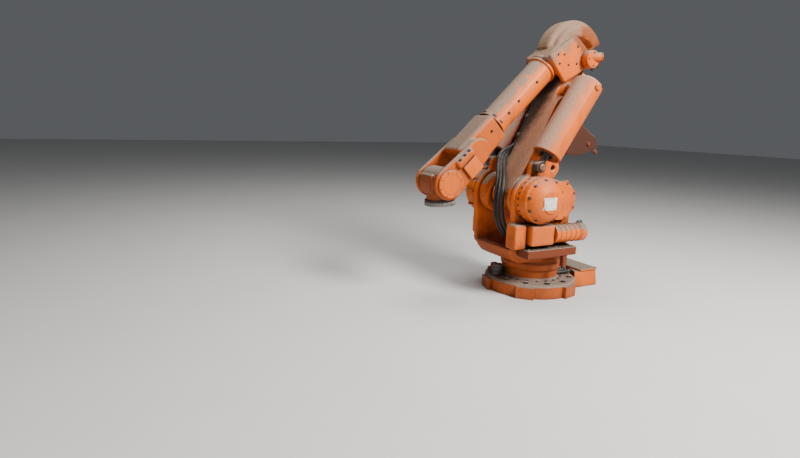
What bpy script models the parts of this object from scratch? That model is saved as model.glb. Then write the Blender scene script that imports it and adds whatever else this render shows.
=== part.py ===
"""Large six-axis industrial robot arm with a parallel-bar drive and two spring balance cylinders.

Frame: origin at the centre of the base's underside, on the turning axis. +X is forward, where the
upper arm reaches, +Y is the robot's left and +Z is up. Metres. The pose is that of the photograph.
"""

import math

import bmesh
import bpy
from mathutils import Matrix, Vector

# Seats and running gaps.
GAP = 0.0003  # between faces that touch on the real machine
RUN = 0.0050  # between faces that run past each other
STEP_IN = 0.0010  # by which one of two fused plates stands back from the other's face
ROUND = 28  # sides of a large turned piece
SMALL = 16  # sides of a small turned piece

# Kinematics.
AXIS2_X = 0.270
AXIS2_Z = 0.850
LOWER_LENGTH = 1.270
SPRING_DROP = 0.270
LEAN = math.radians(25.5)
DROP = math.radians(44.0)
FOREARM_OFFSET = 0.155
FOREARM_LENGTH = 1.625
TOOL_PITCH = math.radians(94.0)
SPRING_PIN_RISE = 0.264
SPRING_TOP = LOWER_LENGTH - SPRING_DROP
LINK_RADIUS = 0.320
WING_ANGLE = math.radians(36.8)

# Base.
BASE_RADIUS = 0.400
BASE_HEIGHT = 0.118
BASE_CHAMFER = 0.018
NECK_RADIUS = 0.238
NECK_TOP = 0.200
PAD_COUNT = 6
PAD_REACH = BASE_RADIUS + 0.025
PAD_WIDTH = 0.150
PAD_HEIGHT = 0.100
PAD_START = math.radians(45.0)
BASE_HOLES = 12
BASE_HOLE_RADIUS = 0.013
BASE_HOLE_CIRCLE = BASE_RADIUS - 0.055
BOX_FRONT = 0.070 - BASE_RADIUS
BOX_LENGTH = 0.290
BOX_WIDTH = 0.440
BOX_HEIGHT = 0.150
BOX_TAPER = 0.025
LID_THICKNESS = 0.018
LID_OVERHANG = 0.008
STOP_AZIMUTH = math.radians(-31.0)
CAN_AZIMUTH = math.radians(-13.0)
STOP_CIRCLE = (BASE_RADIUS + NECK_RADIUS) / 2
STOP_SIZE = 0.060
STOP_HEIGHT = 0.085
CAN_RADIUS = (BASE_RADIUS - NECK_RADIUS) / 3.6
CAN_HEIGHT = 0.095

# Turntable.
RING_RADIUS = 0.268
RING_TOP = 0.272
BODY_HALF_WIDTH = 0.2345
BODY_BOTTOM = 0.296
BODY_LIP = 0.430
BODY_FRONT = 0.450
BODY_REAR = -0.200
BODY_WALL = 0.045
CHEEK_THICKNESS = 0.050
CHEEK_RADIUS = 0.205
CHEEK_SHOULDER = 0.655
CHEEK_BOTTOM = 0.330
CHEEK_TAIL = -0.120
EAR_RADIUS = 0.048
PIN_RADIUS = 0.022
PIN_HOLE = 0.0227
PIN_HEAD = 0.032
PIN_HEAD_THICKNESS = 0.012
DOME_RADIUS = 0.190
DOME_SKIRT = 0.120
DOME_LENGTH = 0.226
DOME_CAP_RADIUS = 0.086
DOME_RIM = 0.012
FRAME_BLOCK_FRONT = 0.496
FRAME_BLOCK_DEPTH = 0.078
LOBE_X = 0.020
LOBE_Z = 0.830
LOBE_RADIUS = 0.165
LOBE_THICKNESS = 0.045
LOBE_EARS = 8
LOBE_EAR_RADIUS = 0.026
LOBE_EAR_STEP = 0.010
MOTOR_BOX_FRONT = 0.372
MOTOR_BOX_REAR = 0.130
MOTOR_BOX_TOP = 0.652
MOTOR_BOX_BOTTOM = 0.482
MOTOR_BOX_DEPTH = 0.135
RIGHT_BOX_DROP = 0.036
DRIVE_MOTOR_RADIUS = 0.072
DRIVE_MOTOR_LENGTH = 0.270
DRIVE_MOTOR_RIBS = 4
DRIVE_RIB_WIDTH = 0.014
DRIVE_RIB_HEIGHT = 0.006
DRIVE_CAP_RADIUS = 0.079
DRIVE_CAP_LENGTH = 0.070
SHELF_FRONT = 0.400
SHELF_REAR = -0.120
SHELF_TOP = 0.452
SHELF_THICKNESS = 0.070
SHELF_DEPTH = 0.135
SHELF_LEG = 0.040
SHELF_LEG_DROP = 0.100
HOUSING_RADIUS = 0.208
HOUSING_LENGTH = 0.115
HOUSING_RIBS = 10
RIB_HEIGHT = 0.014
RIB_WIDTH = 0.018

# Lower arm.
ARM_NEAR = 0.110
ARM_FAR = 0.115
ARM_HUB_NEAR = 0.190
ARM_HUB_RADIUS = 0.126
ARM_WAIST_S = 0.430
ARM_WAIST_T = -0.012
ARM_WAIST_RADIUS = 0.118
ARM_TOP_RADIUS = 0.084
ARM_CHEEK_NEAR = 0.165
ARM_LUG_T = -0.161
ARM_LUG_S = 0.340
ARM_LUG_RADIUS = 0.074
ARM_LUG_HOLE = 0.024
ARM_CHEEK_S = 0.820
ARM_CHEEK_TOP_RADIUS = 0.099
FLANGE_RADIUS = 0.200
FLANGE_THICKNESS = 0.034
BEARING_RADIUS = 0.090
SHAFT_RADIUS = 0.060
SHAFT_HOLE = 0.0607
TOP_BOSS_RADIUS = 0.040

# Balance cylinders.
SPRING_Y = 0.320
SPRING_RADIUS = 0.120
SPRING_EYE_ROOM = 0.115
SPRING_ABOVE = 0.048
SPRING_MOUTH_RADIUS = 0.104
SPRING_MOUTH_DEPTH = 0.028
SPRING_BORE = 0.056
SPRING_BORE_END = 0.065
SPRING_SHOULDER = 0.022
ROD_RADIUS = 0.021
ROD_SHORT = 0.310
EYE_RADIUS = 0.046
EYE_HALF = 0.030

# Parallel arm, counterweight and parallel bar.
LINK_THICKNESS = 0.030
BAR_THICKNESS = 0.040
CRANK_HUB_RADIUS = 0.092
CRANK_DRUM_RADIUS = 0.178
LINK_END_RADIUS = 0.050
BAR_HALF_WIDTH = 0.034
WING_REACH = 0.880
WING_NEAR = 0.180

# Upper arm.
ELBOW_CHEEK_THICKNESS = 0.045
ELBOW_PIVOT_RADIUS = 0.082
ELBOW_COLLAR_U = 0.290
ELBOW_BRIDGE_U = 0.130
ELBOW_BRIDGE_LOW = 0.075
ELBOW_TOP = 0.262
ELBOW_REAR = -0.035
ELBOW_ROUND = 0.014
COLLAR_RADIUS = 0.128
COLLAR_LENGTH = 0.030
ARCH_RADIUS = 0.326
ARCH_INNER = 0.180
ARCH_START = math.radians(58.0)
ARCH_END = math.radians(196.0)
ARCH_NEAR = 0.048
ARCH_FAR = -0.112
REAR_MOTOR_RADIUS = 0.074
REAR_MOTOR_U = -0.014
REAR_MOTOR_N = -0.020
REAR_MOTOR_LENGTH = 0.066
REAR_EAR_RADIUS = 0.038
REAR_EAR_REACH = 0.104
REAR_EAR_RISE = 0.026
REAR_EAR_TURN = math.radians(62.0)
SIDE_DRUM_RADIUS = 0.048
SIDE_DRUM_LENGTH = 0.052
SIDE_DRUM_U = 0.205
SIDE_DRUM_N = 0.180
HOOD_STEP = 0.048
HOOD_STEP_DEPTH = 0.046

# Forearm and wrist.
TUBE_RADIUS = 0.115
TUBE_END = 0.970
FRONT_HALF = 0.121
FRONT_END = FOREARM_LENGTH - 0.230
SHOULDER_START = FRONT_END - 0.170
CHEEK_ROOT = FRONT_END - 0.130
FORK_CHEEK_INNER = 0.132
FORK_CHEEK_THICKNESS = 0.036
FORK_CHEEK_RADIUS = 0.132
FORK_COVER_RADIUS = 0.112
FORK_COVER_THICKNESS = 0.020
FORK_BOSS_RADIUS = 0.040
FORK_BOSS_RISE = 0.060
FORK_BOSS_SUNK = 0.006
FORK_BOSS_START = FRONT_END - 0.080
FORK_BOSS_END = FRONT_END + 0.105
FORK_BOX_START = FRONT_END - 0.070
FORK_BOX_END = FRONT_END + 0.075
FORK_BOX_LOW = -0.104
FORK_BOX_HIGH = 0.022
FORK_BOX_DEPTH = 0.026
HOUSING_HALF = 0.126
BARREL_RADIUS = 0.122
TILT_PLATE = 0.150
HOUSING_DEPTH = 0.150
TILT_NECK_RADIUS = 0.108
TILT_DRUM_RADIUS = 0.063
DISC_RADIUS = 0.125
DISC_THICKNESS = 0.034
DISC_HOLES = 6
DISC_HOLE_CIRCLE = 0.080
DISC_HOLE_RADIUS = 0.006

# Places worked out from the sizes above.
AXIS2 = Vector((AXIS2_X, 0.0, AXIS2_Z))
ARM_DIRECTION = Vector((-math.sin(LEAN), 0.0, math.cos(LEAN)))
AXIS3 = AXIS2 + LOWER_LENGTH * ARM_DIRECTION
REACH_DIRECTION = Vector((math.cos(DROP), 0.0, -math.sin(DROP)))
RISE_DIRECTION = Vector((math.sin(DROP), 0.0, math.cos(DROP)))
FOREARM_START = AXIS3 + FOREARM_OFFSET * RISE_DIRECTION
WRIST = FOREARM_START + FOREARM_LENGTH * REACH_DIRECTION
SPRING_EYE = AXIS2 + Vector((0.0, 0.0, SPRING_PIN_RISE))
SPRING_PIN = AXIS2 + SPRING_TOP * ARM_DIRECTION
SPRING_LENGTH = (SPRING_PIN - SPRING_EYE).length
SPRING_DIRECTION = (SPRING_PIN - SPRING_EYE).normalized()
SPRING_LEAN = math.atan2(SPRING_DIRECTION.x, SPRING_DIRECTION.z)
CHEEK_INNER = BODY_HALF_WIDTH + GAP
CHEEK_OUTER = CHEEK_INNER + CHEEK_THICKNESS
LINK_INNER = ARM_FAR + GAP + 0.004
LINK_OUTER = LINK_INNER + LINK_THICKNESS
BAR_INNER = LINK_OUTER + GAP
BAR_OUTER = BAR_INNER + BAR_THICKNESS
ELBOW_INNER = ARM_FAR + GAP
ELBOW_OUTER = ELBOW_INNER + ELBOW_CHEEK_THICKNESS

PARTS = "industrial_robot_arm"


# Scene helpers.
def clear_scene():
    """Empty the file, so that the script gives the same result each time."""
    for obj in list(bpy.data.objects):
        bpy.data.objects.remove(obj, do_unlink=True)
    for mesh in list(bpy.data.meshes):
        bpy.data.meshes.remove(mesh)


def parts_collection():
    """The collection that holds the robot's pieces."""
    found = bpy.data.collections.get(PARTS)
    if found is None:
        found = bpy.data.collections.new(PARTS)
        bpy.context.scene.collection.children.link(found)
    return found


def paint(name, colour, roughness=0.55, metallic=0.0):
    """A Principled material, made once for each name."""
    found = bpy.data.materials.get(name)
    if found:
        return found
    made = bpy.data.materials.new(name)
    made.use_nodes = True
    shader = made.node_tree.nodes["Principled BSDF"]
    shader.inputs["Base Color"].default_value = (*colour, 1.0)
    shader.inputs["Roughness"].default_value = roughness
    shader.inputs["Metallic"].default_value = metallic
    return made


def orange():
    return paint("orange_paint", (0.80, 0.23, 0.06))


def dusty_orange():
    return paint("dusty_orange", (0.66, 0.36, 0.20), 0.75)


def dark_orange():
    return paint("dark_orange", (0.42, 0.12, 0.05), 0.65)


def bare_steel():
    return paint("bare_steel", (0.45, 0.45, 0.44), 0.35, 0.9)


def grey_box():
    return paint("grey_cast", (0.16, 0.16, 0.16), 0.6, 0.3)


def pivot(name, place, pitch=0.0, parent=None):
    """An empty on a joint's axis, turned about Y."""
    empty = bpy.data.objects.new(name, None)
    empty.empty_display_size = 0.1
    parts_collection().objects.link(empty)
    if parent is None:
        empty.matrix_world = Matrix.Translation(place) @ Matrix.Rotation(pitch, 4, "Y")
        return empty
    empty.parent = parent
    bpy.context.view_layer.update()
    world = Matrix.Translation(place) @ Matrix.Rotation(pitch, 4, "Y")
    empty.matrix_local = parent.matrix_world.inverted() @ world
    bpy.context.view_layer.update()
    return empty


# Shape helpers: each gives an object whose mesh is in its sub-part's own frame.
def as_object(mesh_builder, label="shape"):
    """Wrap a finished bmesh in an object."""
    mesh = bpy.data.meshes.new(label)
    mesh_builder.to_mesh(mesh)
    mesh_builder.free()
    obj = bpy.data.objects.new(label, mesh)
    bpy.context.scene.collection.objects.link(obj)
    return obj


def evaluated_mesh(obj):
    """The mesh that an object's modifiers give, with loose doubles welded and faces pointing out."""
    bpy.context.view_layer.update()
    graph = bpy.context.evaluated_depsgraph_get()
    mesh = bpy.data.meshes.new_from_object(obj.evaluated_get(graph), depsgraph=graph)
    work = bmesh.new()
    work.from_mesh(mesh)
    bmesh.ops.remove_doubles(work, verts=work.verts, dist=0.00001)
    bmesh.ops.recalc_face_normals(work, faces=work.faces)
    work.to_mesh(mesh)
    work.free()
    return mesh


def settle(obj):
    """Replace an object by a mesh object of its evaluated shape."""
    mesh = evaluated_mesh(obj)
    made = bpy.data.objects.new(obj.name, mesh)
    bpy.context.scene.collection.objects.link(made)
    made.matrix_world = obj.matrix_world.copy()
    bpy.data.objects.remove(obj, do_unlink=True)
    return made


def box(low, high, bevel=0.0, segments=2):
    """A box between two corners, with its edges bevelled."""
    work = bmesh.new()
    bmesh.ops.create_cube(work, size=1.0)
    low, high = Vector(low), Vector(high)
    size = high - low
    bmesh.ops.scale(work, vec=size, verts=work.verts)
    bmesh.ops.translate(work, vec=(low + high) / 2, verts=work.verts)
    if bevel > 0.0:
        bmesh.ops.bevel(
            work,
            geom=work.edges[:],
            offset=bevel,
            offset_type="OFFSET",
            segments=segments,
            profile=0.5,
            affect="EDGES",
            material=-1,
        )
    return as_object(work)


AXES = {
    "Z": Matrix.Identity(4),
    "Y": Matrix.Rotation(math.radians(-90.0), 4, "X"),
    "X": Matrix.Rotation(math.radians(90.0), 4, "Y"),
}


def turned(profile, axis="Z", centre=(0.0, 0.0, 0.0), steps=ROUND):
    """A turned piece. The profile holds (radius, height) pairs, from the top down its outer side."""
    work = bmesh.new()
    points = [work.verts.new((radius, 0.0, height)) for radius, height in profile]
    for first, second in zip(points, points[1:]):
        work.edges.new((first, second))
    obj = as_object(work)
    screw = obj.modifiers.new("turn", "SCREW")
    screw.axis = "Z"
    screw.steps = steps
    screw.render_steps = steps
    screw.use_merge_vertices = True
    screw.merge_threshold = 0.00005
    screw.use_normal_calculate = True
    made = settle(obj)
    made.data.transform(Matrix.Translation(centre) @ AXES[axis])
    return made


def drum(radius, low, high, axis="Y", centre=(0.0, 0.0, 0.0), chamfer=0.0, steps=ROUND):
    """A cylinder between two heights on its axis, with chamfered rims."""
    if chamfer > 0.0:
        profile = [
            (0.0, high),
            (radius - chamfer, high),
            (radius, high - chamfer),
            (radius, low + chamfer),
            (radius - chamfer, low),
            (0.0, low),
        ]
    else:
        profile = [(0.0, high), (radius, high), (radius, low), (0.0, low)]
    return turned(profile, axis, centre, steps)


def slab(outline, low, high, bevel=0.0, segments=1):
    """A flat outline in X and Z, filled, and thick along Y from low to high."""
    curve = bpy.data.curves.new("outline", "CURVE")
    curve.dimensions = "2D"
    curve.fill_mode = "BOTH"
    curve.extrude = (high - low) / 2
    line = curve.splines.new("POLY")
    line.points.add(len(outline) - 1)
    for point, (x, z) in zip(line.points, outline):
        point.co = (x, z, 0.0, 1.0)
    line.use_cyclic_u = True
    obj = bpy.data.objects.new("outline", curve)
    bpy.context.scene.collection.objects.link(obj)
    upright = Matrix.Rotation(math.radians(90.0), 4, "X")
    obj.matrix_world = Matrix.Translation((0.0, (low + high) / 2, 0.0)) @ upright
    made = settle(obj)
    made.data.transform(made.matrix_world)
    made.matrix_world = Matrix.Identity(4)
    if bevel > 0.0:
        soften_rims(made, bevel, low, high, segments)
    return made


def soften_rims(obj, width, low, high, segments):
    """Bevel the edges that lie in a slab's two flat faces."""
    work = bmesh.new()
    work.from_mesh(obj.data)
    bmesh.ops.dissolve_limit(work, angle_limit=0.001, verts=work.verts, edges=work.edges)

    def lies_in(edge, height):
        return all(abs(vertex.co.y - height) < 1e-5 for vertex in edge.verts)

    rims = [edge for edge in work.edges if lies_in(edge, low) or lies_in(edge, high)]
    bmesh.ops.bevel(
        work,
        geom=rims,
        offset=width,
        offset_type="OFFSET",
        segments=segments,
        profile=0.5,
        affect="EDGES",
        material=-1,
        clamp_overlap=True,
    )
    bmesh.ops.recalc_face_normals(work, faces=work.faces)
    work.to_mesh(obj.data)
    work.free()


def round_outline(circles, sides=24):
    """The outline of a band stretched round circles, each given as (x, z, radius)."""
    points = []
    for x, z, radius in circles:
        count = sides if radius > 0.0 else 1
        for index in range(count):
            turn = 2.0 * math.pi * (index + 0.5) / count
            points.append((x + radius * math.cos(turn), z + radius * math.sin(turn)))
    points = sorted(set(points))

    def half(ordered):
        chain = []
        for point in ordered:
            while len(chain) > 1 and turn_of(chain[-2], chain[-1], point) <= 1e-9:
                chain.pop()
            chain.append(point)
        return chain[:-1]

    return half(points) + half(points[::-1])


def turn_of(a, b, c):
    """Twice the signed area of a triangle, to tell a left turn from a right one."""
    return (b[0] - a[0]) * (c[1] - a[1]) - (b[1] - a[1]) * (c[0] - a[0])


def combine(target, tool, operation):
    """One Boolean of two shapes. The tool is used up."""
    tool.hide_render = True
    tool.display_type = "WIRE"
    step = target.modifiers.new("combine", "BOOLEAN")
    step.operation = operation
    step.solver = "EXACT"
    step.object = tool
    mesh = evaluated_mesh(target)
    target.modifiers.clear()
    target.data = mesh
    bpy.data.objects.remove(tool, do_unlink=True)
    return target


def joined(first, *others):
    """One solid of several shapes that overlap."""
    for other in others:
        combine(first, other, "UNION")
    return first


def cut(target, *tools):
    """A shape less its cutters."""
    for tool in tools:
        combine(target, tool, "DIFFERENCE")
    return target


def place(obj, name, material, parent, smooth=True):
    """Name a finished sub-part, give it its material and put it in its parent's frame."""
    obj.name = name
    obj.data.name = name
    obj.data.materials.clear()
    obj.data.materials.append(material)
    for collection in list(obj.users_collection):
        collection.objects.unlink(obj)
    parts_collection().objects.link(obj)
    obj.parent = parent
    if smooth:
        obj.data.shade_smooth()
        obj.data.set_sharp_from_angle(angle=math.radians(32.0))
    return obj


def circle_of(count, radius, start=0.0):
    """Places spread evenly on a circle."""
    for index in range(count):
        turn = start + 2.0 * math.pi * index / count
        yield radius * math.cos(turn), radius * math.sin(turn)


# Base.
def base_casting(frame):
    """The round foot with its levelling pads, bolt holes and neck."""
    foot = turned(
        [
            (0.0, NECK_TOP),
            (NECK_RADIUS, NECK_TOP),
            (NECK_RADIUS, BASE_HEIGHT + BASE_CHAMFER),
            (NECK_RADIUS + BASE_CHAMFER, BASE_HEIGHT),
            (BASE_RADIUS - BASE_CHAMFER, BASE_HEIGHT),
            (BASE_RADIUS, BASE_HEIGHT - BASE_CHAMFER),
            (BASE_RADIUS, 0.0),
            (0.0, 0.0),
        ],
        steps=40,
    )
    for index in range(PAD_COUNT):
        pad = box(
            (BASE_RADIUS - 0.100, -PAD_WIDTH / 2, 0.0),
            (PAD_REACH, PAD_WIDTH / 2, PAD_HEIGHT),
            0.0,
        )
        pad.data.transform(Matrix.Rotation(PAD_START + 2.0 * math.pi * index / PAD_COUNT, 4, "Z"))
        joined(foot, pad)
    for x, y in circle_of(BASE_HOLES, BASE_HOLE_CIRCLE, math.radians(15.0)):
        cut(foot, drum(BASE_HOLE_RADIUS, -0.01, BASE_HEIGHT + 0.01, "Z", (x, y, 0.0), steps=8))
    return place(foot, "base_casting", orange(), frame)


def connection_box(frame):
    """The tapered box at the back of the base, where the plugs go in."""
    half = BOX_WIDTH / 2
    rear = BOX_FRONT - BOX_LENGTH
    body = slab(
        [
            (BOX_FRONT, 0.0),
            (BOX_FRONT, BOX_HEIGHT),
            (rear + BOX_TAPER, BOX_HEIGHT),
            (rear, BOX_TAPER),
            (rear, 0.0),
        ],
        -half,
        half,
        0.006,
    )
    cut(body, drum(BASE_RADIUS + GAP, -0.01, BOX_HEIGHT + 0.01, "Z", steps=40))
    for index in range(PAD_COUNT):
        pad = box(
            (0.0, -PAD_WIDTH / 2 - GAP, -0.01),
            (PAD_REACH + GAP, PAD_WIDTH / 2 + GAP, PAD_HEIGHT + GAP),
        )
        pad.data.transform(Matrix.Rotation(PAD_START + 2.0 * math.pi * index / PAD_COUNT, 4, "Z"))
        cut(body, pad)
    place(body, "connection_box", orange(), frame)
    front = -math.sqrt(BASE_RADIUS**2 - 0.05**2)
    lid = box(
        (rear + BOX_TAPER - LID_OVERHANG, -half - LID_OVERHANG, BOX_HEIGHT + GAP),
        (front, half + LID_OVERHANG, BOX_HEIGHT + GAP + LID_THICKNESS),
        0.004,
        1,
    )
    return place(lid, "connection_box_lid", dusty_orange(), frame)


def front_fittings(frame):
    """The turning stop and the small round unit that stand on the front of the foot."""
    x = STOP_CIRCLE * math.cos(STOP_AZIMUTH)
    y = STOP_CIRCLE * math.sin(STOP_AZIMUTH)
    floor = BASE_HEIGHT + GAP
    half = STOP_SIZE / 2
    stop = box((x - half, y - half, floor), (x + half, y + half, floor + STOP_HEIGHT), 0.006, 1)
    place(stop, "turning_stop", dark_orange(), frame)
    x = STOP_CIRCLE * math.cos(CAN_AZIMUTH)
    y = STOP_CIRCLE * math.sin(CAN_AZIMUTH)
    can = drum(CAN_RADIUS, floor, floor + CAN_HEIGHT, "Z", (x, y, 0.0), 0.006, SMALL)
    return place(can, "position_switch", grey_box(), frame)


# Turntable.
def turntable_casting(frame):
    """The ring on the neck and the bowl-fronted body on it, hollow between the cheeks."""
    body = slab(
        [
            (BODY_FRONT, BODY_LIP),
            (BODY_FRONT - 0.012, BODY_LIP - 0.050),
            (BODY_FRONT - 0.060, BODY_BOTTOM + 0.030),
            (BODY_FRONT - 0.120, BODY_BOTTOM),
            (BODY_REAR, BODY_BOTTOM),
            (BODY_REAR - 0.030, BODY_LIP - 0.040),
            (BODY_REAR - 0.030, BODY_LIP),
        ],
        -BODY_HALF_WIDTH,
        BODY_HALF_WIDTH,
        0.004,
    )
    pocket = box(
        (BODY_REAR + 0.02, -BODY_HALF_WIDTH + BODY_WALL, BODY_BOTTOM + BODY_WALL),
        (BODY_FRONT - BODY_WALL - 0.030, BODY_HALF_WIDTH - BODY_WALL, BODY_LIP + 0.05),
        0.020,
        2,
    )
    cut(body, pocket)
    ring = turned(
        [
            (0.0, BODY_BOTTOM + 0.010),
            (RING_RADIUS - 0.020, BODY_BOTTOM + 0.010),
            (RING_RADIUS - 0.012, RING_TOP),
            (RING_RADIUS, RING_TOP - 0.006),
            (RING_RADIUS, NECK_TOP + 0.030),
            (RING_RADIUS - 0.010, NECK_TOP + GAP),
            (0.0, NECK_TOP + GAP),
        ],
        steps=48,
    )
    joined(body, ring)
    return place(body, "turntable_casting", orange(), frame)


def cheek(side, frame):
    """An upright beside the lower arm: it carries axis 2 and has the ear for the spring rod's pin."""
    low, high = sorted((side * CHEEK_INNER, side * CHEEK_OUTER))
    outline = round_outline(
        [
            (AXIS2_X, AXIS2_Z, CHEEK_RADIUS),
            (LOBE_X, LOBE_Z, LOBE_RADIUS),
            (BODY_FRONT - 0.030, CHEEK_SHOULDER - 0.030, 0.020),
            (BODY_FRONT - 0.030, CHEEK_BOTTOM + 0.090, 0.020),
            (BODY_FRONT - 0.110, CHEEK_BOTTOM + 0.020, 0.020),
            (CHEEK_TAIL, CHEEK_BOTTOM + 0.020, 0.020),
        ]
    )
    plate = slab(outline, low, high, 0.004)
    ear = slab(
        round_outline(
            [
                (SPRING_EYE.x, SPRING_EYE.z, EAR_RADIUS),
                (AXIS2_X, AXIS2_Z, CHEEK_RADIUS * 0.5),
            ]
        ),
        low + STEP_IN,
        high - STEP_IN,
        0.004,
    )
    joined(plate, ear)
    eye_outer = side * (SPRING_Y + EYE_HALF + RUN)
    pin_end = side * (SPRING_Y + EYE_HALF + RUN + PIN_HEAD_THICKNESS)
    low, high = sorted((side * (CHEEK_OUTER - 0.010), eye_outer + side * 0.004))
    joined(plate, drum(PIN_RADIUS, low, high, "Y", (SPRING_EYE.x, 0.0, SPRING_EYE.z), steps=SMALL))
    low, high = sorted((eye_outer, pin_end))
    joined(plate, drum(PIN_HEAD, low, high, "Y", (SPRING_EYE.x, 0.0, SPRING_EYE.z), 0.003, SMALL))
    if side > 0:
        block = box(
            (MOTOR_BOX_FRONT + RUN, CHEEK_INNER + STEP_IN, SHELF_TOP + GAP),
            (FRAME_BLOCK_FRONT, CHEEK_OUTER + FRAME_BLOCK_DEPTH, MOTOR_BOX_TOP + 0.004),
            0.012,
            2,
        )
        joined(plate, block)
    name = "left_cheek" if side > 0 else "right_cheek"
    return place(plate, name, orange(), frame)


def left_covers(frame):
    """The dome over the left gear unit and the lobed cover behind it."""
    start = CHEEK_OUTER + GAP
    skirt = start + DOME_SKIRT
    tip = start + DOME_LENGTH
    rim = DOME_RADIUS - DOME_RIM
    shoulder = DOME_CAP_RADIUS + 0.006
    profile = [(0.0, tip), (DOME_CAP_RADIUS, tip)]
    steps = 5
    first, last = math.radians(22.0), math.radians(72.0)
    for index in range(steps + 1):
        turn = first + (last - first) * index / steps
        out = (math.sin(turn) - math.sin(first)) / (math.sin(last) - math.sin(first))
        fall = (math.cos(first) - math.cos(turn)) / (math.cos(first) - math.cos(last))
        radius = shoulder + (rim - shoulder) * out
        height = tip - 0.010 + (skirt + DOME_RIM - tip + 0.010) * fall
        profile.append((radius, height))
    profile += [(DOME_RADIUS, skirt), (DOME_RADIUS, start), (0.0, start)]
    dome = turned(profile, "Y", (AXIS2_X, 0.0, AXIS2_Z))
    place(dome, "left_dome_cover", orange(), frame)
    lobe = drum(LOBE_RADIUS, start, start + LOBE_THICKNESS, "Y", (LOBE_X, 0.0, LOBE_Z), 0.006)
    for x, z in circle_of(LOBE_EARS, LOBE_RADIUS - LOBE_EAR_STEP, math.pi / LOBE_EARS):
        middle = (LOBE_X + x, 0.0, LOBE_Z + z)
        ear_end = start + LOBE_THICKNESS - LOBE_EAR_STEP
        joined(lobe, drum(LOBE_EAR_RADIUS, start, ear_end, "Y", middle, steps=SMALL))
    cut(
        lobe,
        drum(DOME_RADIUS + GAP, start - 0.01, start + LOBE_THICKNESS + 0.01, "Y", (AXIS2_X, 0.0, AXIS2_Z)),
    )
    return place(lobe, "left_gear_cover", orange(), frame)


def drive_motor(side, frame):
    """A rounded gear box on a cheek with its lying motor behind it."""
    start = CHEEK_OUTER + GAP
    end = start + MOTOR_BOX_DEPTH
    low, high = sorted((side * start, side * end))
    drop = 0.0 if side > 0 else RIGHT_BOX_DROP
    top = MOTOR_BOX_TOP - drop
    bottom = MOTOR_BOX_BOTTOM - drop
    gear = box((MOTOR_BOX_REAR, low, bottom), (MOTOR_BOX_FRONT, high, top), 0.022, 2)
    label = "left" if side > 0 else "right"
    place(gear, f"{label}_motor_box", orange(), frame)
    y = side * (start + DRIVE_CAP_RADIUS + 0.004)
    z = (bottom + top) / 2
    rear = MOTOR_BOX_REAR - GAP - DRIVE_MOTOR_LENGTH
    front = MOTOR_BOX_REAR - GAP
    profile = [(0.0, front), (DRIVE_MOTOR_RADIUS, front)]
    pitch = DRIVE_MOTOR_LENGTH / (DRIVE_MOTOR_RIBS + 1)
    for index in range(DRIVE_MOTOR_RIBS):
        x = front - pitch * (index + 1) + DRIVE_RIB_WIDTH / 2
        profile.append((DRIVE_MOTOR_RADIUS, x))
        profile.append((DRIVE_MOTOR_RADIUS + DRIVE_RIB_HEIGHT, x))
        profile.append((DRIVE_MOTOR_RADIUS + DRIVE_RIB_HEIGHT, x - DRIVE_RIB_WIDTH))
        profile.append((DRIVE_MOTOR_RADIUS, x - DRIVE_RIB_WIDTH))
    profile += [(DRIVE_MOTOR_RADIUS, rear), (0.0, rear)]
    body = turned(profile, "X", (0.0, y, z), 24)
    place(body, f"{label}_drive_motor", orange(), frame)
    cap = drum(DRIVE_CAP_RADIUS, rear - GAP - DRIVE_CAP_LENGTH, rear - GAP, "X", (0.0, y, z), 0.010)
    return place(cap, f"{label}_motor_cap", dusty_orange(), frame)


def side_shelf(frame):
    """The shelf along the left foot of the turntable, with its leg."""
    start = CHEEK_OUTER + GAP
    end = start + SHELF_DEPTH
    bottom = SHELF_TOP - SHELF_THICKNESS
    shelf = box((SHELF_REAR, start, bottom), (SHELF_FRONT, end, SHELF_TOP), 0.005, 1)
    middle = SHELF_REAR + 0.110
    leg = box(
        (middle - SHELF_LEG / 2, end - 0.050, bottom - SHELF_LEG_DROP),
        (middle + SHELF_LEG / 2, end - 0.010, bottom + 0.010),
    )
    joined(shelf, leg)
    return place(shelf, "side_shelf", dark_orange(), frame)


def right_housing(frame):
    """The ribbed gear housing on the right cheek."""
    start = -(CHEEK_OUTER + GAP)
    end = start - HOUSING_LENGTH
    shell = drum(HOUSING_RADIUS, end, start, "Y", (AXIS2_X, 0.0, AXIS2_Z), 0.012)
    for index in range(HOUSING_RIBS):
        turn = 2.0 * math.pi * index / HOUSING_RIBS
        rib = box(
            (HOUSING_RADIUS - 0.020, end + 0.014, -RIB_WIDTH / 2),
            (HOUSING_RADIUS + RIB_HEIGHT, start - 0.002, RIB_WIDTH / 2),
        )
        rib.data.transform(Matrix.Translation((AXIS2_X, 0.0, AXIS2_Z)) @ Matrix.Rotation(turn, 4, "Y"))
        joined(shell, rib)
    return place(shell, "right_gear_housing", orange(), frame)


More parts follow.
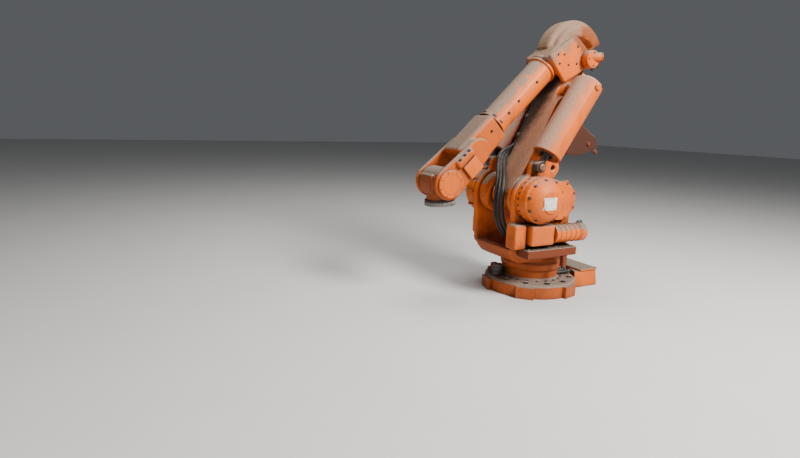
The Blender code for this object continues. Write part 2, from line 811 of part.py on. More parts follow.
# Lower arm.
def lower_arm(frame):
    """The leaning arm, in its own frame: Z along the arm from axis 2, X to its front."""
    lower = round_outline(
        [
            (0.0, 0.0, ARM_HUB_RADIUS),
            (ARM_WAIST_T, ARM_WAIST_S, ARM_WAIST_RADIUS),
            (ARM_WAIST_T / 2, ARM_CHEEK_S, ARM_CHEEK_TOP_RADIUS),
        ]
    )
    upper = round_outline(
        [
            (ARM_WAIST_T, ARM_WAIST_S, ARM_WAIST_RADIUS),
            (0.0, LOWER_LENGTH, ARM_TOP_RADIUS),
        ]
    )
    arm = slab(lower, -ARM_FAR, ARM_CHEEK_NEAR, 0.010)
    lug = round_outline(
        [
            (0.0, 0.0, ARM_HUB_RADIUS * 0.9),
            (ARM_LUG_T, ARM_LUG_S, ARM_LUG_RADIUS),
            (ARM_WAIST_T, ARM_WAIST_S, ARM_WAIST_RADIUS * 0.9),
        ]
    )
    joined(arm, slab(lug, ARM_NEAR, ARM_CHEEK_NEAR - STEP_IN, 0.006))
    hole_place = (ARM_LUG_T, 0.0, ARM_LUG_S)
    cut(arm, drum(ARM_LUG_HOLE, ARM_NEAR - 0.01, ARM_CHEEK_NEAR + 0.01, "Y", hole_place, steps=SMALL))
    joined(arm, slab(upper, -ARM_FAR + GAP, ARM_NEAR, 0.008))
    joined(arm, drum(ARM_HUB_RADIUS - 0.006, ARM_CHEEK_NEAR - 0.010, ARM_HUB_NEAR, "Y"))
    joined(arm, drum(SHAFT_RADIUS, GAP - CHEEK_INNER, 0.010 - ARM_FAR, "Y"))
    pivot_face = ELBOW_INNER - GAP
    joined(
        arm,
        drum(
            ARM_TOP_RADIUS * 0.8,
            ARM_NEAR - 0.010,
            pivot_face,
            "Y",
            (0.0, 0.0, LOWER_LENGTH),
            steps=24,
        ),
    )
    for side, start in ((1, ARM_NEAR - 0.010), (-1, ARM_FAR - 0.010)):
        face = SPRING_Y - EYE_HALF - RUN
        low, high = sorted((side * start, side * face))
        joined(arm, drum(TOP_BOSS_RADIUS, low, high, "Y", (0.0, 0.0, SPRING_TOP), steps=24))
        end = SPRING_Y + SPRING_RADIUS + GAP
        low, high = sorted((side * (face - 0.010), side * (end + 0.004)))
        joined(arm, drum(PIN_RADIUS, low, high, "Y", (0.0, 0.0, SPRING_TOP), steps=SMALL))
        low, high = sorted((side * end, side * (end + PIN_HEAD_THICKNESS)))
        joined(arm, drum(PIN_HEAD, low, high, "Y", (0.0, 0.0, SPRING_TOP), 0.003, SMALL))
    return place(arm, "lower_arm", dusty_orange(), frame)


def lower_arm_flange(frame):
    """The bolted ring by which the left gear unit turns the lower arm."""
    start = ARM_HUB_NEAR + GAP
    ring = drum(FLANGE_RADIUS, start, start + FLANGE_THICKNESS, "Y", chamfer=0.006)
    boss = drum(BEARING_RADIUS, start + FLANGE_THICKNESS - 0.005, CHEEK_INNER - GAP, "Y")
    joined(ring, boss)
    return place(ring, "lower_arm_flange", orange(), frame)


# Balance cylinders.
def spring_cylinder(side, frame):
    """A balance cylinder in its own frame: Z up along it, from the pin on the lower arm."""
    low = SPRING_EYE_ROOM - SPRING_LENGTH
    top = SPRING_ABOVE
    mouth = low + SPRING_MOUTH_DEPTH
    bore_end = -SPRING_BORE_END
    shell = turned(
        [
            (0.0, top),
            (SPRING_RADIUS - SPRING_SHOULDER, top),
            (SPRING_RADIUS, top - SPRING_SHOULDER),
            (SPRING_RADIUS, low),
            (SPRING_MOUTH_RADIUS, low),
            (SPRING_MOUTH_RADIUS, mouth),
            (SPRING_BORE, mouth),
            (SPRING_BORE, bore_end),
            (0.0, bore_end),
        ],
        centre=(0.0, side * SPRING_Y, 0.0),
    )
    hole = drum(
        PIN_HOLE,
        side * SPRING_Y - SPRING_RADIUS - 0.02,
        side * SPRING_Y + SPRING_RADIUS + 0.02,
        "Y",
        steps=SMALL,
    )
    cut(shell, hole)
    inner = side * (SPRING_Y - EYE_HALF - RUN / 2 - GAP)
    low_y, high_y = sorted((inner, side * (SPRING_Y - SPRING_RADIUS - 0.02)))
    cut(shell, drum(TOP_BOSS_RADIUS + RUN, low_y, high_y, "Y", steps=24))
    name = "left_spring_cylinder" if side > 0 else "right_spring_cylinder"
    return place(shell, name, orange(), frame)


def spring_rod(side, frame):
    """A balance cylinder's rod with its eye, in its own frame: Z up along it, from the pin."""
    y = side * SPRING_Y
    eye = drum(EYE_RADIUS, y - EYE_HALF, y + EYE_HALF, "Y", chamfer=0.004, steps=24)
    joined(eye, drum(ROD_RADIUS, 0.0, SPRING_LENGTH - ROD_SHORT, "Z", (0.0, y, 0.0), steps=20))
    cut(eye, drum(PIN_HOLE, y - EYE_HALF - 0.01, y + EYE_HALF + 0.01, "Y", steps=SMALL))
    name = "left_spring_rod" if side > 0 else "right_spring_rod"
    return place(eye, name, bare_steel(), frame)


# Parallel arm, counterweight and bar.
def wing_directions():
    """The counterweight's own directions in the lower arm's frame: outwards and to the arm's front."""
    along = Vector((-math.sin(WING_ANGLE), 0.0, math.cos(WING_ANGLE)))
    return along, Vector((along.z, 0.0, -along.x))


def parallel_arm(frame):
    """The crank on axis 2 that works the parallel bar, with the arm that holds the counterweight."""
    along, across = wing_directions()
    reach = WING_REACH * (0.80 * along + 0.12 * across)
    low, high = -LINK_OUTER, -LINK_INNER
    crank = slab(
        round_outline([(0.0, 0.0, CRANK_HUB_RADIUS), (-LINK_RADIUS, 0.0, LINK_END_RADIUS)]),
        low,
        high,
    )
    joined(
        crank,
        slab(
            round_outline([(0.0, 0.0, CRANK_HUB_RADIUS * 0.98), (reach.x, reach.z, LINK_END_RADIUS)]),
            low + STEP_IN,
            high - STEP_IN,
        ),
    )
    turning = drum(CRANK_DRUM_RADIUS, RUN - CHEEK_INNER, low + 0.010, "Y", chamfer=0.010)
    joined(crank, turning)
    cut(crank, drum(SHAFT_HOLE, -CHEEK_INNER, high + 0.01, "Y"))
    link_pin(crank, (-LINK_RADIUS, 0.0, 0.0))
    return place(crank, "parallel_arm", orange(), frame)


def link_pin(obj, centre):
    """A pin and its head, through one end of the parallel bar, on the far side."""
    joined(obj, drum(PIN_RADIUS, -BAR_OUTER - 0.004, -LINK_OUTER + 0.010, "Y", centre, steps=SMALL))
    head = -BAR_OUTER - GAP
    joined(obj, drum(PIN_HEAD, head - 0.006, head, "Y", centre, steps=SMALL))


def counterweight(frame):
    """The wide tapered weight across the back of the lower arm."""
    along, across = wing_directions()
    corners = []
    for share, shift in (
        (0.597, 0.135),
        (0.756, 0.038),
        (0.916, 0.010),
        (1.000, 0.000),
        (1.013, 0.121),
        (0.952, 0.199),
        (0.881, 0.344),
        (0.661, 0.231),
    ):
        corner = WING_REACH * (share * along + shift * across)
        corners.append((corner.x, corner.z))
    weight = slab(corners, -LINK_INNER - STEP_IN + GAP, WING_NEAR, 0.006)
    return place(weight, "counterweight", dark_orange(), frame)


def parallel_bar(frame):
    """The bar from the crank to the upper arm's rear lug, in its own frame: Z along it."""
    low, high = -BAR_OUTER, -BAR_INNER
    shank = box(
        (-BAR_HALF_WIDTH, low + STEP_IN, -LINK_END_RADIUS / 2),
        (BAR_HALF_WIDTH, high - STEP_IN, LOWER_LENGTH + LINK_END_RADIUS / 2),
        0.006,
        1,
    )
    for height in (0.0, LOWER_LENGTH):
        joined(shank, drum(LINK_END_RADIUS, low, high, "Y", (0.0, 0.0, height), steps=28))
    for height in (0.0, LOWER_LENGTH):
        cut(shank, drum(PIN_HOLE, low - 0.01, high + 0.01, "Y", (0.0, 0.0, height), steps=SMALL))
    return place(shank, "parallel_bar", orange(), frame)


# Upper arm.
def elbow_casting(frame):
    """The upper arm's casting, in its own frame: X along the arm from axis 3, Z up from it."""
    cheek_outline = round_outline(
        [
            (0.0, 0.0, ELBOW_PIVOT_RADIUS),
            (ELBOW_REAR + 0.030, ELBOW_TOP - 0.090, 0.050),
            (ELBOW_COLLAR_U - 0.030, ELBOW_TOP - 0.020, 0.020),
            (ELBOW_COLLAR_U - 0.022, 0.004, 0.020),
        ]
    )
    near = slab(cheek_outline, ELBOW_INNER, ELBOW_OUTER, ELBOW_ROUND, 2)
    far = slab(cheek_outline, -ELBOW_OUTER, -ELBOW_INNER, ELBOW_ROUND, 2)
    bridge = box(
        (ELBOW_BRIDGE_U, -ELBOW_INNER - 0.010, ELBOW_BRIDGE_LOW),
        (ELBOW_COLLAR_U - 0.004, ELBOW_INNER + 0.010, ELBOW_TOP),
    )
    joined(bridge, slab(elbow_roof(0.0), -ELBOW_INNER - 0.008, ELBOW_INNER + 0.008))
    collar = drum(
        COLLAR_RADIUS,
        ELBOW_COLLAR_U - COLLAR_LENGTH,
        ELBOW_COLLAR_U,
        "X",
        (0.0, 0.0, FOREARM_OFFSET),
        0.004,
    )
    body = joined(near, bridge, far, collar)
    seat = round_outline(
        [
            (0.0, 0.0, ELBOW_PIVOT_RADIUS * 0.9),
            (REAR_MOTOR_U, REAR_MOTOR_N, REAR_MOTOR_RADIUS - 0.020),
        ]
    )
    joined(body, slab(seat, ELBOW_INNER + STEP_IN, ELBOW_OUTER - STEP_IN, 0.004))
    joined(body, slab(seat, -ELBOW_OUTER + STEP_IN, -ELBOW_INNER - STEP_IN, 0.004))
    lug_end = link_end_in_upper()
    lug = slab(
        round_outline([(0.0, 0.0, ELBOW_PIVOT_RADIUS * 0.9), (lug_end.x, lug_end.z, LINK_END_RADIUS)]),
        -LINK_OUTER,
        -ELBOW_INNER - 2 * STEP_IN,
    )
    joined(body, lug)
    link_pin(body, (lug_end.x, 0.0, lug_end.z))
    return place(body, "elbow_casting", dusty_orange(), frame)


def elbow_roof(clear):
    """The outline of what fills the elbow above the lower arm's head, grown by a clearance."""
    low = ARM_TOP_RADIUS + 2 * RUN
    return [
        (ELBOW_REAR + 0.010 - clear, low - clear),
        (ELBOW_BRIDGE_U + 0.010, low - clear),
        (ELBOW_BRIDGE_U + 0.010, ELBOW_TOP - 0.024 + clear),
        (ELBOW_REAR + 0.036, ELBOW_TOP - 0.048 + clear),
        (ELBOW_REAR + 0.010 - clear, ELBOW_TOP - 0.066 + clear),
    ]


def link_end_in_upper():
    """The rear lug's pin in the upper arm's frame, where the bar runs parallel to the lower arm."""
    front = Vector((math.cos(LEAN), 0.0, math.sin(LEAN)))
    offset = -LINK_RADIUS * front
    return Vector((offset.dot(REACH_DIRECTION), 0.0, offset.dot(RISE_DIRECTION)))


def arch_guard(frame):
    """The hood round the elbow, a thick arc about axis 3."""
    hood = slab(arc_outline(ARCH_INNER, ARCH_RADIUS, ARCH_START, ARCH_END), ARCH_FAR, ARCH_NEAR, 0.034, 3)
    step = slab(
        arc_outline(
            ARCH_INNER + STEP_IN,
            ARCH_RADIUS - HOOD_STEP,
            ARCH_START + math.radians(1.0),
            ARCH_END - math.radians(7.0),
        ),
        ARCH_NEAR - 0.040,
        ARCH_NEAR + HOOD_STEP_DEPTH,
        0.026,
        3,
    )
    joined(hood, step)
    room = box(
        (ELBOW_BRIDGE_U - GAP, ARCH_FAR - 0.1, -0.1),
        (ELBOW_COLLAR_U, ARCH_NEAR + 0.1, ELBOW_TOP + GAP),
    )
    cut(hood, room)
    cut(hood, slab(elbow_roof(GAP), ARCH_FAR - 0.1, ARCH_NEAR + 0.1))
    return place(hood, "elbow_hood", dusty_orange(), frame)


def arc_outline(inner, outer, start, end, steps=16):
    """The outline of a part of a flat ring."""
    points = []
    for index in range(steps + 1):
        turn = start + (end - start) * index / steps
        points.append((outer * math.cos(turn), outer * math.sin(turn)))
    for index in range(steps + 1):
        turn = end + (start - end) * index / steps
        points.append((inner * math.cos(turn), inner * math.sin(turn)))
    return points


def side_drum(frame):
    """The small round cap on the right of the elbow, beside the collar."""
    start = -(ELBOW_OUTER + GAP)
    middle = (SIDE_DRUM_U, 0.0, SIDE_DRUM_N)
    made = drum(SIDE_DRUM_RADIUS, start - SIDE_DRUM_LENGTH, start, "Y", middle, 0.008, 20)
    return place(made, "right_side_drum", dark_orange(), frame)


def motor_ear(start):
    """The round ear on the left wrist motor, which looks back and to the left."""
    ear = drum(REAR_EAR_RADIUS, 0.0, REAR_EAR_REACH, "Y", chamfer=0.006, steps=24)
    middle = Vector((REAR_MOTOR_U, start + REAR_MOTOR_LENGTH / 2, REAR_MOTOR_N + REAR_EAR_RISE))
    ear.data.transform(Matrix.Rotation(REAR_EAR_TURN, 4, "Z"))
    ear.data.transform(Matrix.Translation(middle) @ Matrix.Rotation(-DROP, 4, "Y"))
    room = LINK_RADIUS
    beyond = box((-room, start + STEP_IN, -room), (room, start + room, room))
    return combine(ear, beyond, "INTERSECT")


def rear_motors(frame):
    """The wrist motors behind the elbow, one on each side."""
    made = None
    for side, label in ((1, "left"), (-1, "right")):
        start = ELBOW_OUTER + GAP
        low, high = sorted((side * start, side * (start + REAR_MOTOR_LENGTH)))
        centre = (REAR_MOTOR_U, 0.0, REAR_MOTOR_N)
        made = drum(REAR_MOTOR_RADIUS, low, high, "Y", centre, 0.010)
        if side > 0:
            joined(made, motor_ear(start))
        place(made, f"{label}_wrist_motor", orange(), frame)
    return made


# Forearm and wrist.
def forearm_tube(frame):
    """The long round tube, in its own frame: X along axis 4."""
    start = ELBOW_COLLAR_U + GAP
    made = turned(
        [
            (0.0, TUBE_END),
            (TUBE_RADIUS, TUBE_END),
            (TUBE_RADIUS, start + 0.030),
            (COLLAR_RADIUS, start + 0.022),
            (COLLAR_RADIUS, start + 0.004),
            (COLLAR_RADIUS - 0.004, start),
            (0.0, start),
        ],
        "X",
    )
    return place(made, "forearm_tube", orange(), frame)


def forearm_fork(frame):
    """The squarer front of the forearm and the two cheeks that hold the tilting housing."""
    start = TUBE_END + GAP
    across = FORK_CHEEK_INNER + 0.008
    body = box((start, -FRONT_HALF, -FRONT_HALF), (FRONT_END, FRONT_HALF, FRONT_HALF), 0.030, 2)
    shoulder = box(
        (SHOULDER_START, -across, -FRONT_HALF + 0.012),
        (FRONT_END - 0.012, across, FRONT_HALF - 0.012),
        0.024,
        2,
    )
    joined(body, shoulder)
    outer = FORK_CHEEK_INNER + FORK_CHEEK_THICKNESS
    outline = round_outline(
        [
            (FOREARM_LENGTH, 0.0, FORK_CHEEK_RADIUS),
            (CHEEK_ROOT, 0.0, FRONT_HALF * 0.86),
        ]
    )
    for side in (1, -1):
        low, high = sorted((side * FORK_CHEEK_INNER, side * outer))
        joined(body, slab(outline, low, high, 0.012))
    boss = drum(
        FORK_BOSS_RADIUS,
        FORK_BOSS_START,
        FORK_BOSS_END,
        "X",
        (0.0, outer - FORK_BOSS_SUNK, FORK_BOSS_RISE),
        0.016,
        20,
    )
    joined(body, boss)
    return place(body, "forearm_fork", orange(), frame)


def fork_fittings(frame):
    """Covers, the long boss and the box on the outside of the fork."""
    start = FORK_CHEEK_INNER + FORK_CHEEK_THICKNESS + GAP
    for side, label in ((1, "left"), (-1, "right")):
        low, high = sorted((side * start, side * (start + FORK_COVER_THICKNESS)))
        cover = drum(FORK_COVER_RADIUS, low, high, "Y", (FOREARM_LENGTH, 0.0, 0.0), 0.006)
        place(cover, f"{label}_wrist_cover", orange(), frame)
    lid = box(
        (FORK_BOX_START, start, FORK_BOX_LOW),
        (FORK_BOX_END, start + FORK_BOX_DEPTH, FORK_BOX_HIGH),
        0.008,
        2,
    )
    boss_place = (0.0, start - GAP - FORK_BOSS_SUNK, FORK_BOSS_RISE)
    cut(
        lid,
        drum(FORK_BOSS_RADIUS + GAP, FORK_BOSS_START - 0.02, FORK_BOSS_END + 0.02, "X", boss_place, steps=20),
    )
    return place(lid, "wrist_side_box", orange(), frame)


def tilt_housing(frame):
    """The barrel between the fork's cheeks with its neck, in its own frame: X towards the tool."""
    body = drum(BARREL_RADIUS, -HOUSING_HALF, HOUSING_HALF, "Y", chamfer=0.018)
    neck = drum(TILT_NECK_RADIUS, 0.0, HOUSING_DEPTH, "X", chamfer=0.008)
    half = HOUSING_HALF - 0.030
    reach = TILT_PLATE / 2
    plate = box((-reach, -half, BARREL_RADIUS - 0.032), (reach, half, BARREL_RADIUS + 0.006), 0.010, 1)
    boss = drum(TILT_DRUM_RADIUS, -FORK_CHEEK_INNER + GAP, FORK_CHEEK_INNER - GAP, "Y", steps=24)
    joined(body, neck, plate, boss)
    return place(body, "tilt_housing", dusty_orange(), frame)


def tool_disc(frame):
    """The turning disc that tools are bolted to, with its holes."""
    start = HOUSING_DEPTH + GAP
    disc = drum(DISC_RADIUS, start, start + DISC_THICKNESS, "X", chamfer=0.004)
    for y, z in circle_of(DISC_HOLES, DISC_HOLE_CIRCLE):
        floor = start + DISC_THICKNESS / 2
        cut(disc, drum(DISC_HOLE_RADIUS, floor, start + DISC_THICKNESS + 0.01, "X", (0.0, y, z), steps=12))
    return place(disc, "tool_disc", bare_steel(), frame)


# Assembly.
def build():
    """Make every sub-part in its joint's frame."""
    clear_scene()
    base = pivot("base_frame", (0.0, 0.0, 0.0))
    base_casting(base)
    connection_box(base)
    front_fittings(base)
    turntable = pivot("axis_1", (0.0, 0.0, 0.0), 0.0, base)
    turntable_casting(turntable)
    cheek(1, turntable)
    cheek(-1, turntable)
    left_covers(turntable)
    drive_motor(1, turntable)
    drive_motor(-1, turntable)
    side_shelf(turntable)
    right_housing(turntable)
    lower = pivot("axis_2", AXIS2, -LEAN, turntable)
    lower_arm(lower)
    lower_arm_flange(lower)
    for side, label in ((1, "left"), (-1, "right")):
        spring_cylinder(side, pivot(f"{label}_spring_pin", SPRING_PIN, SPRING_LEAN, lower))
        spring_rod(side, pivot(f"{label}_rod_pin", SPRING_EYE, SPRING_LEAN, turntable))
    crank = pivot("parallel_arm_pivot", AXIS2, -LEAN, lower)
    parallel_arm(crank)
    counterweight(crank)
    front = Vector((math.cos(LEAN), 0.0, math.sin(LEAN)))
    parallel_bar(pivot("parallel_bar_pivot", AXIS2 - LINK_RADIUS * front, -LEAN, crank))
    upper = pivot("axis_3", AXIS3, DROP, lower)
    elbow_casting(upper)
    arch_guard(upper)
    rear_motors(upper)
    side_drum(upper)
    forearm = pivot("axis_4", FOREARM_START, DROP, upper)
    forearm_tube(forearm)
    forearm_fork(forearm)
    fork_fittings(forearm)
    wrist = pivot("axis_5", WRIST, TOOL_PITCH, forearm)
    tilt_housing(wrist)
    tool_disc(pivot("axis_6", WRIST, TOOL_PITCH, wrist))
    bpy.context.view_layer.update()


build()
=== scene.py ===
"""Dressing of a large six-axis robot arm: its bolts, covers, hoses, worn paint, studio and camera."""

from __future__ import annotations

import logging
import math
from dataclasses import dataclass
from enum import Enum
from typing import Iterable, Iterator, Sequence

import bmesh
import bpy
from mathutils import Matrix, Vector


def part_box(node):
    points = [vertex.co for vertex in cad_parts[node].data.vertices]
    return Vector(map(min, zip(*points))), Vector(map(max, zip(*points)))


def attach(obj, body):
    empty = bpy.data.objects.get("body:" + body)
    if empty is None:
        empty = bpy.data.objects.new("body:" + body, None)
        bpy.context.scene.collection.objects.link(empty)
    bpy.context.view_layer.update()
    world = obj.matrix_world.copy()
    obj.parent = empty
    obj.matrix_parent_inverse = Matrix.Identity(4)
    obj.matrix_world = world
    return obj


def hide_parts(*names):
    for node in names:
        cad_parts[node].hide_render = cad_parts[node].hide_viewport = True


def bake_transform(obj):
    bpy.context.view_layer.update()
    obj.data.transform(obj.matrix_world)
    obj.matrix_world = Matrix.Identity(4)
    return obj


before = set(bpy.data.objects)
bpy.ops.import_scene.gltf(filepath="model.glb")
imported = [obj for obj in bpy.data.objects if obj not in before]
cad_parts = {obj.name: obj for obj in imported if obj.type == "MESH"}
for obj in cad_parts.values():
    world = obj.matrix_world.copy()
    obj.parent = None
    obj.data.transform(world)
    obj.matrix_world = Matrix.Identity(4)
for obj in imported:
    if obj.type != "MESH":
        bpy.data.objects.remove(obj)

log = logging.getLogger("robot_arm")

AXIS2 = Vector((0.270, 0.0, 0.850))
LEAN = math.radians(25.5)
DROP = math.radians(44.0)
TOOL_PITCH = math.radians(94.0)
LOWER_LENGTH = 1.270
LINK_RADIUS = 0.320
FOREARM_OFFSET = 0.155
WRIST_REACH = 1.625
SPRING_Y = 0.320
AXIS3 = AXIS2 + LOWER_LENGTH * Vector((-math.sin(LEAN), 0.0, math.cos(LEAN)))
FOREARM_START = AXIS3 + FOREARM_OFFSET * Vector((math.sin(DROP), 0.0, math.cos(DROP)))
WRIST = FOREARM_START + WRIST_REACH * Vector((math.cos(DROP), 0.0, -math.sin(DROP)))
SPRING_EYE = AXIS2 + Vector((0.0, 0.0, 0.264))
SPRING_PIN = AXIS2 + Vector((-math.sin(LEAN), 0.0, math.cos(LEAN)))
SPRING_LEAN = math.atan2((SPRING_PIN - SPRING_EYE).x, (SPRING_PIN - SPRING_EYE).z)

Point = Sequence[float]
Colour = tuple[float, float, float]

# A screw's thin washer and the seat of its head on it.
WASHER_HEIGHT = 0.0018
WASHER_MIDDLE = 0.0010
HEAD_SEAT = 0.0012

# Edges sharper than this angle stay crisp.
SHARP_ANGLE = math.radians(35.0)

# Linear colours that several finishes share.
PRIMER_BROWN = (0.075, 0.040, 0.028)
# The dark of painted shade and dirt in seams and inner corners.
SEAM_SHADE_AND_DIRT = (0.040, 0.020, 0.013)
LIGHT_RUST = (0.165, 0.070, 0.030)
STEEL_DUST = (0.36, 0.27, 0.20)
RUBBER_DUST = (0.33, 0.26, 0.20)
PLATE_WHITE = (0.74, 0.70, 0.64)
PLATE_STAIN = (0.50, 0.42, 0.34)


def standing(place: Point, pitch: float = 0.0) -> Matrix:
    """Give the frame at a place, pitched about Y, in which a sub-assembly is laid out."""
    return Matrix.Translation(Vector(place)) @ Matrix.Rotation(pitch, 4, "Y")


def facing(place: Point, normal: Point, twist: float = 0.0) -> Matrix:
    """Give the frame at a place whose Z is along a normal, with a twist about it in radians."""
    turn = Vector((0.0, 0.0, 1.0)).rotation_difference(Vector(normal).normalized()).to_matrix().to_4x4()
    return Matrix.Translation(Vector(place)) @ turn @ Matrix.Rotation(twist, 4, "Z")


def ring(count: int, radius: float, start: float = 0.0) -> Iterator[tuple[float, float]]:
    """Yield places spread evenly round a circle.

    Args:
        count: The number of places.
        radius: The circle's radius.
        start: The first place's angle, in degrees.

    Yields:
        The two coordinates of each place.
    """
    for index in range(count):
        turn = math.radians(start) + 2.0 * math.pi * index / count
        yield radius * math.cos(turn), radius * math.sin(turn)


class Head(Enum):
    """The kinds of screw head that hold the robot together."""

    SOCKET = "socket"
    HEX = "hex"
    BUTTON = "button"


class Shape:
    """A piece under construction. Each step adds a form to its bmesh."""

    def __init__(self) -> None:
        """Start with an empty mesh."""
        self.work = bmesh.new()

    def absorb(self, part: bmesh.types.BMesh, where: Matrix) -> None:
        """Add a form to the piece.

        Args:
            part: The form, which is used up.
            where: The frame that the form is laid out in.
        """
        bmesh.ops.remove_doubles(part, verts=part.verts, dist=0.00002)
        bmesh.ops.recalc_face_normals(part, faces=part.faces)
        bmesh.ops.transform(part, matrix=where, verts=part.verts)
        mesh = bpy.data.meshes.new("form")
        part.to_mesh(mesh)
        part.free()
        self.work.from_mesh(mesh)
        bpy.data.meshes.remove(mesh)

    def turned(self, profile: Iterable[tuple[float, float]], where: Matrix, steps: int = 40) -> None:
        """Spin a profile of (radius, height) pairs about Z.

        Args:
            profile: The pairs, from one end of the axis to the other, or a closed loop.
            where: The frame whose Z is the axis.
            steps: The number of sides.
        """
        part = bmesh.new()
        points = [part.verts.new((radius, 0.0, height)) for radius, height in profile]
        edges = [part.edges.new(pair) for pair in zip(points, points[1:])]
        bmesh.ops.spin(
            part,
            geom=points + edges,
            cent=(0.0, 0.0, 0.0),
            axis=(0.0, 0.0, 1.0),
            angle=2.0 * math.pi,
            steps=steps,
            use_merge=True,
        )
        self.absorb(part, where)

    def block(self, low: Point, high: Point, where: Matrix, bevel: float = 0.002, segments: int = 2) -> None:
        """Add a box with rounded edges.

        Args:
            low: Its lowest corner.
            high: Its highest corner.
            where: The frame that it is laid out in.
            bevel: How far the rounding reaches from each edge.
            segments: The number of steps in the rounding.
        """
        part = bmesh.new()
        bmesh.ops.create_cube(part, size=1.0)
        size = Vector(high) - Vector(low)
        bmesh.ops.scale(part, vec=size, verts=part.verts)
        bmesh.ops.translate(part, vec=(Vector(low) + Vector(high)) / 2, verts=part.verts)
        bmesh.ops.bevel(
            part, geom=part.edges[:], offset=bevel, segments=segments, profile=0.5, affect="EDGES", material=-1
        )
        self.absorb(part, where)

    def screw(self, where: Matrix, radius: float, height: float, head: Head = Head.SOCKET) -> None:
        """Add one screw head that stands along Z, on a thin washer.

        Args:
            where: The frame of its seat.
            radius: The head's radius.
            height: The head's height.
            head: The kind of head.
        """
        part = bmesh.new()
        sides = 6 if head is Head.HEX else 14
        bmesh.ops.create_cone(
            part, cap_ends=True, segments=sides, radius1=radius, radius2=radius, depth=height,
            matrix=Matrix.Translation((0.0, 0.0, height / 2 + HEAD_SEAT)),
        )
        top = max(part.faces, key=lambda face: face.calc_center_median().z)
        if head is Head.SOCKET:
            bmesh.ops.inset_individual(part, faces=[top], thickness=radius * 0.14, depth=radius * 0.10)
            bmesh.ops.inset_individual(part, faces=[top], thickness=radius * 0.34, depth=0.0)
            bmesh.ops.inset_individual(part, faces=[top], thickness=radius * 0.03, depth=-height * 0.55)
        elif head is Head.BUTTON:
            bmesh.ops.inset_individual(part, faces=[top], thickness=radius * 0.45, depth=height * 0.35)
        else:
            bmesh.ops.inset_individual(part, faces=[top], thickness=radius * 0.16, depth=radius * 0.07)
        bmesh.ops.create_cone(
            part, cap_ends=True, segments=16, radius1=radius * 1.36, radius2=radius * 1.30, depth=WASHER_HEIGHT,
            matrix=Matrix.Translation((0.0, 0.0, WASHER_MIDDLE)),
        )
        self.absorb(part, where)

    def screws(
        self, places: Iterable[Point], normal: Point, base: Matrix, radius: float = 0.009,
        height: float = 0.008, head: Head = Head.SOCKET,
    ) -> None:
        """Add a screw head at each place in a sub-assembly's frame, all with the same normal."""
        for index, place in enumerate(places):
            self.screw(base @ facing(place, normal, 0.9 * index), radius, height, head)

    def pipe(self, points: Sequence[Point], radius: float, base: Matrix, sides: int = 3) -> None:
        """Add a smooth round hose through some points.

        Args:
            points: The places that its middle passes through.
            radius: The hose's radius.
            base: The sub-assembly's frame.
            sides: How finely its round section is divided.
        """
        curve = bpy.data.curves.new("run", "CURVE")
        curve.dimensions = "3D"
        curve.bevel_depth = radius
        curve.bevel_resolution = sides
        curve.use_fill_caps = True
        curve.resolution_u = 6
        line = curve.splines.new("NURBS")
        line.points.add(len(points) - 1)
        for knot, point in zip(line.points, points):
            knot.co = (*point, 1.0)
        line.use_endpoint_u = True
        line.order_u = 3
        holder = bpy.data.objects.new("run", curve)
        bpy.context.scene.collection.objects.link(holder)
        bpy.context.view_layer.update()
        mesh = bpy.data.meshes.new_from_object(holder.evaluated_get(bpy.context.evaluated_depsgraph_get()))
        part = bmesh.new()
        part.from_mesh(mesh)
        bpy.data.objects.remove(holder, do_unlink=True)
        bpy.data.meshes.remove(mesh)
        self.absorb(part, base)

    def finish(
        self, name: str, body: str, finish: Finish, slot: str, *stands_for: str, ride: bool = True
    ) -> bpy.types.Object:
        """Turn the piece into an object, dress it and let it ride on a body.

        Args:
            name: The piece's name.
            body: The CAD body that it moves with.
            finish: Its finish.
            slot: The record's material slot; it is not used.
            *stands_for: CAD nodes that it stands for.
            ride: Whether it moves with that body alone.

        Returns:
            The finished object.
        """
        mesh = bpy.data.meshes.new(name)
        self.work.to_mesh(mesh)
        self.work.free()
        piece = bpy.data.objects.new(name, mesh)
        bpy.context.scene.collection.objects.link(piece)
        mesh.materials.append(finish.material())
        mesh.shade_smooth()
        mesh.set_sharp_from_angle(angle=SHARP_ANGLE)
        if ride:
            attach(piece, body)
        if stands_for:
            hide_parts(*stands_for)
        log.info("made %s, %d faces, on %s", name, len(mesh.polygons), body)
        return piece


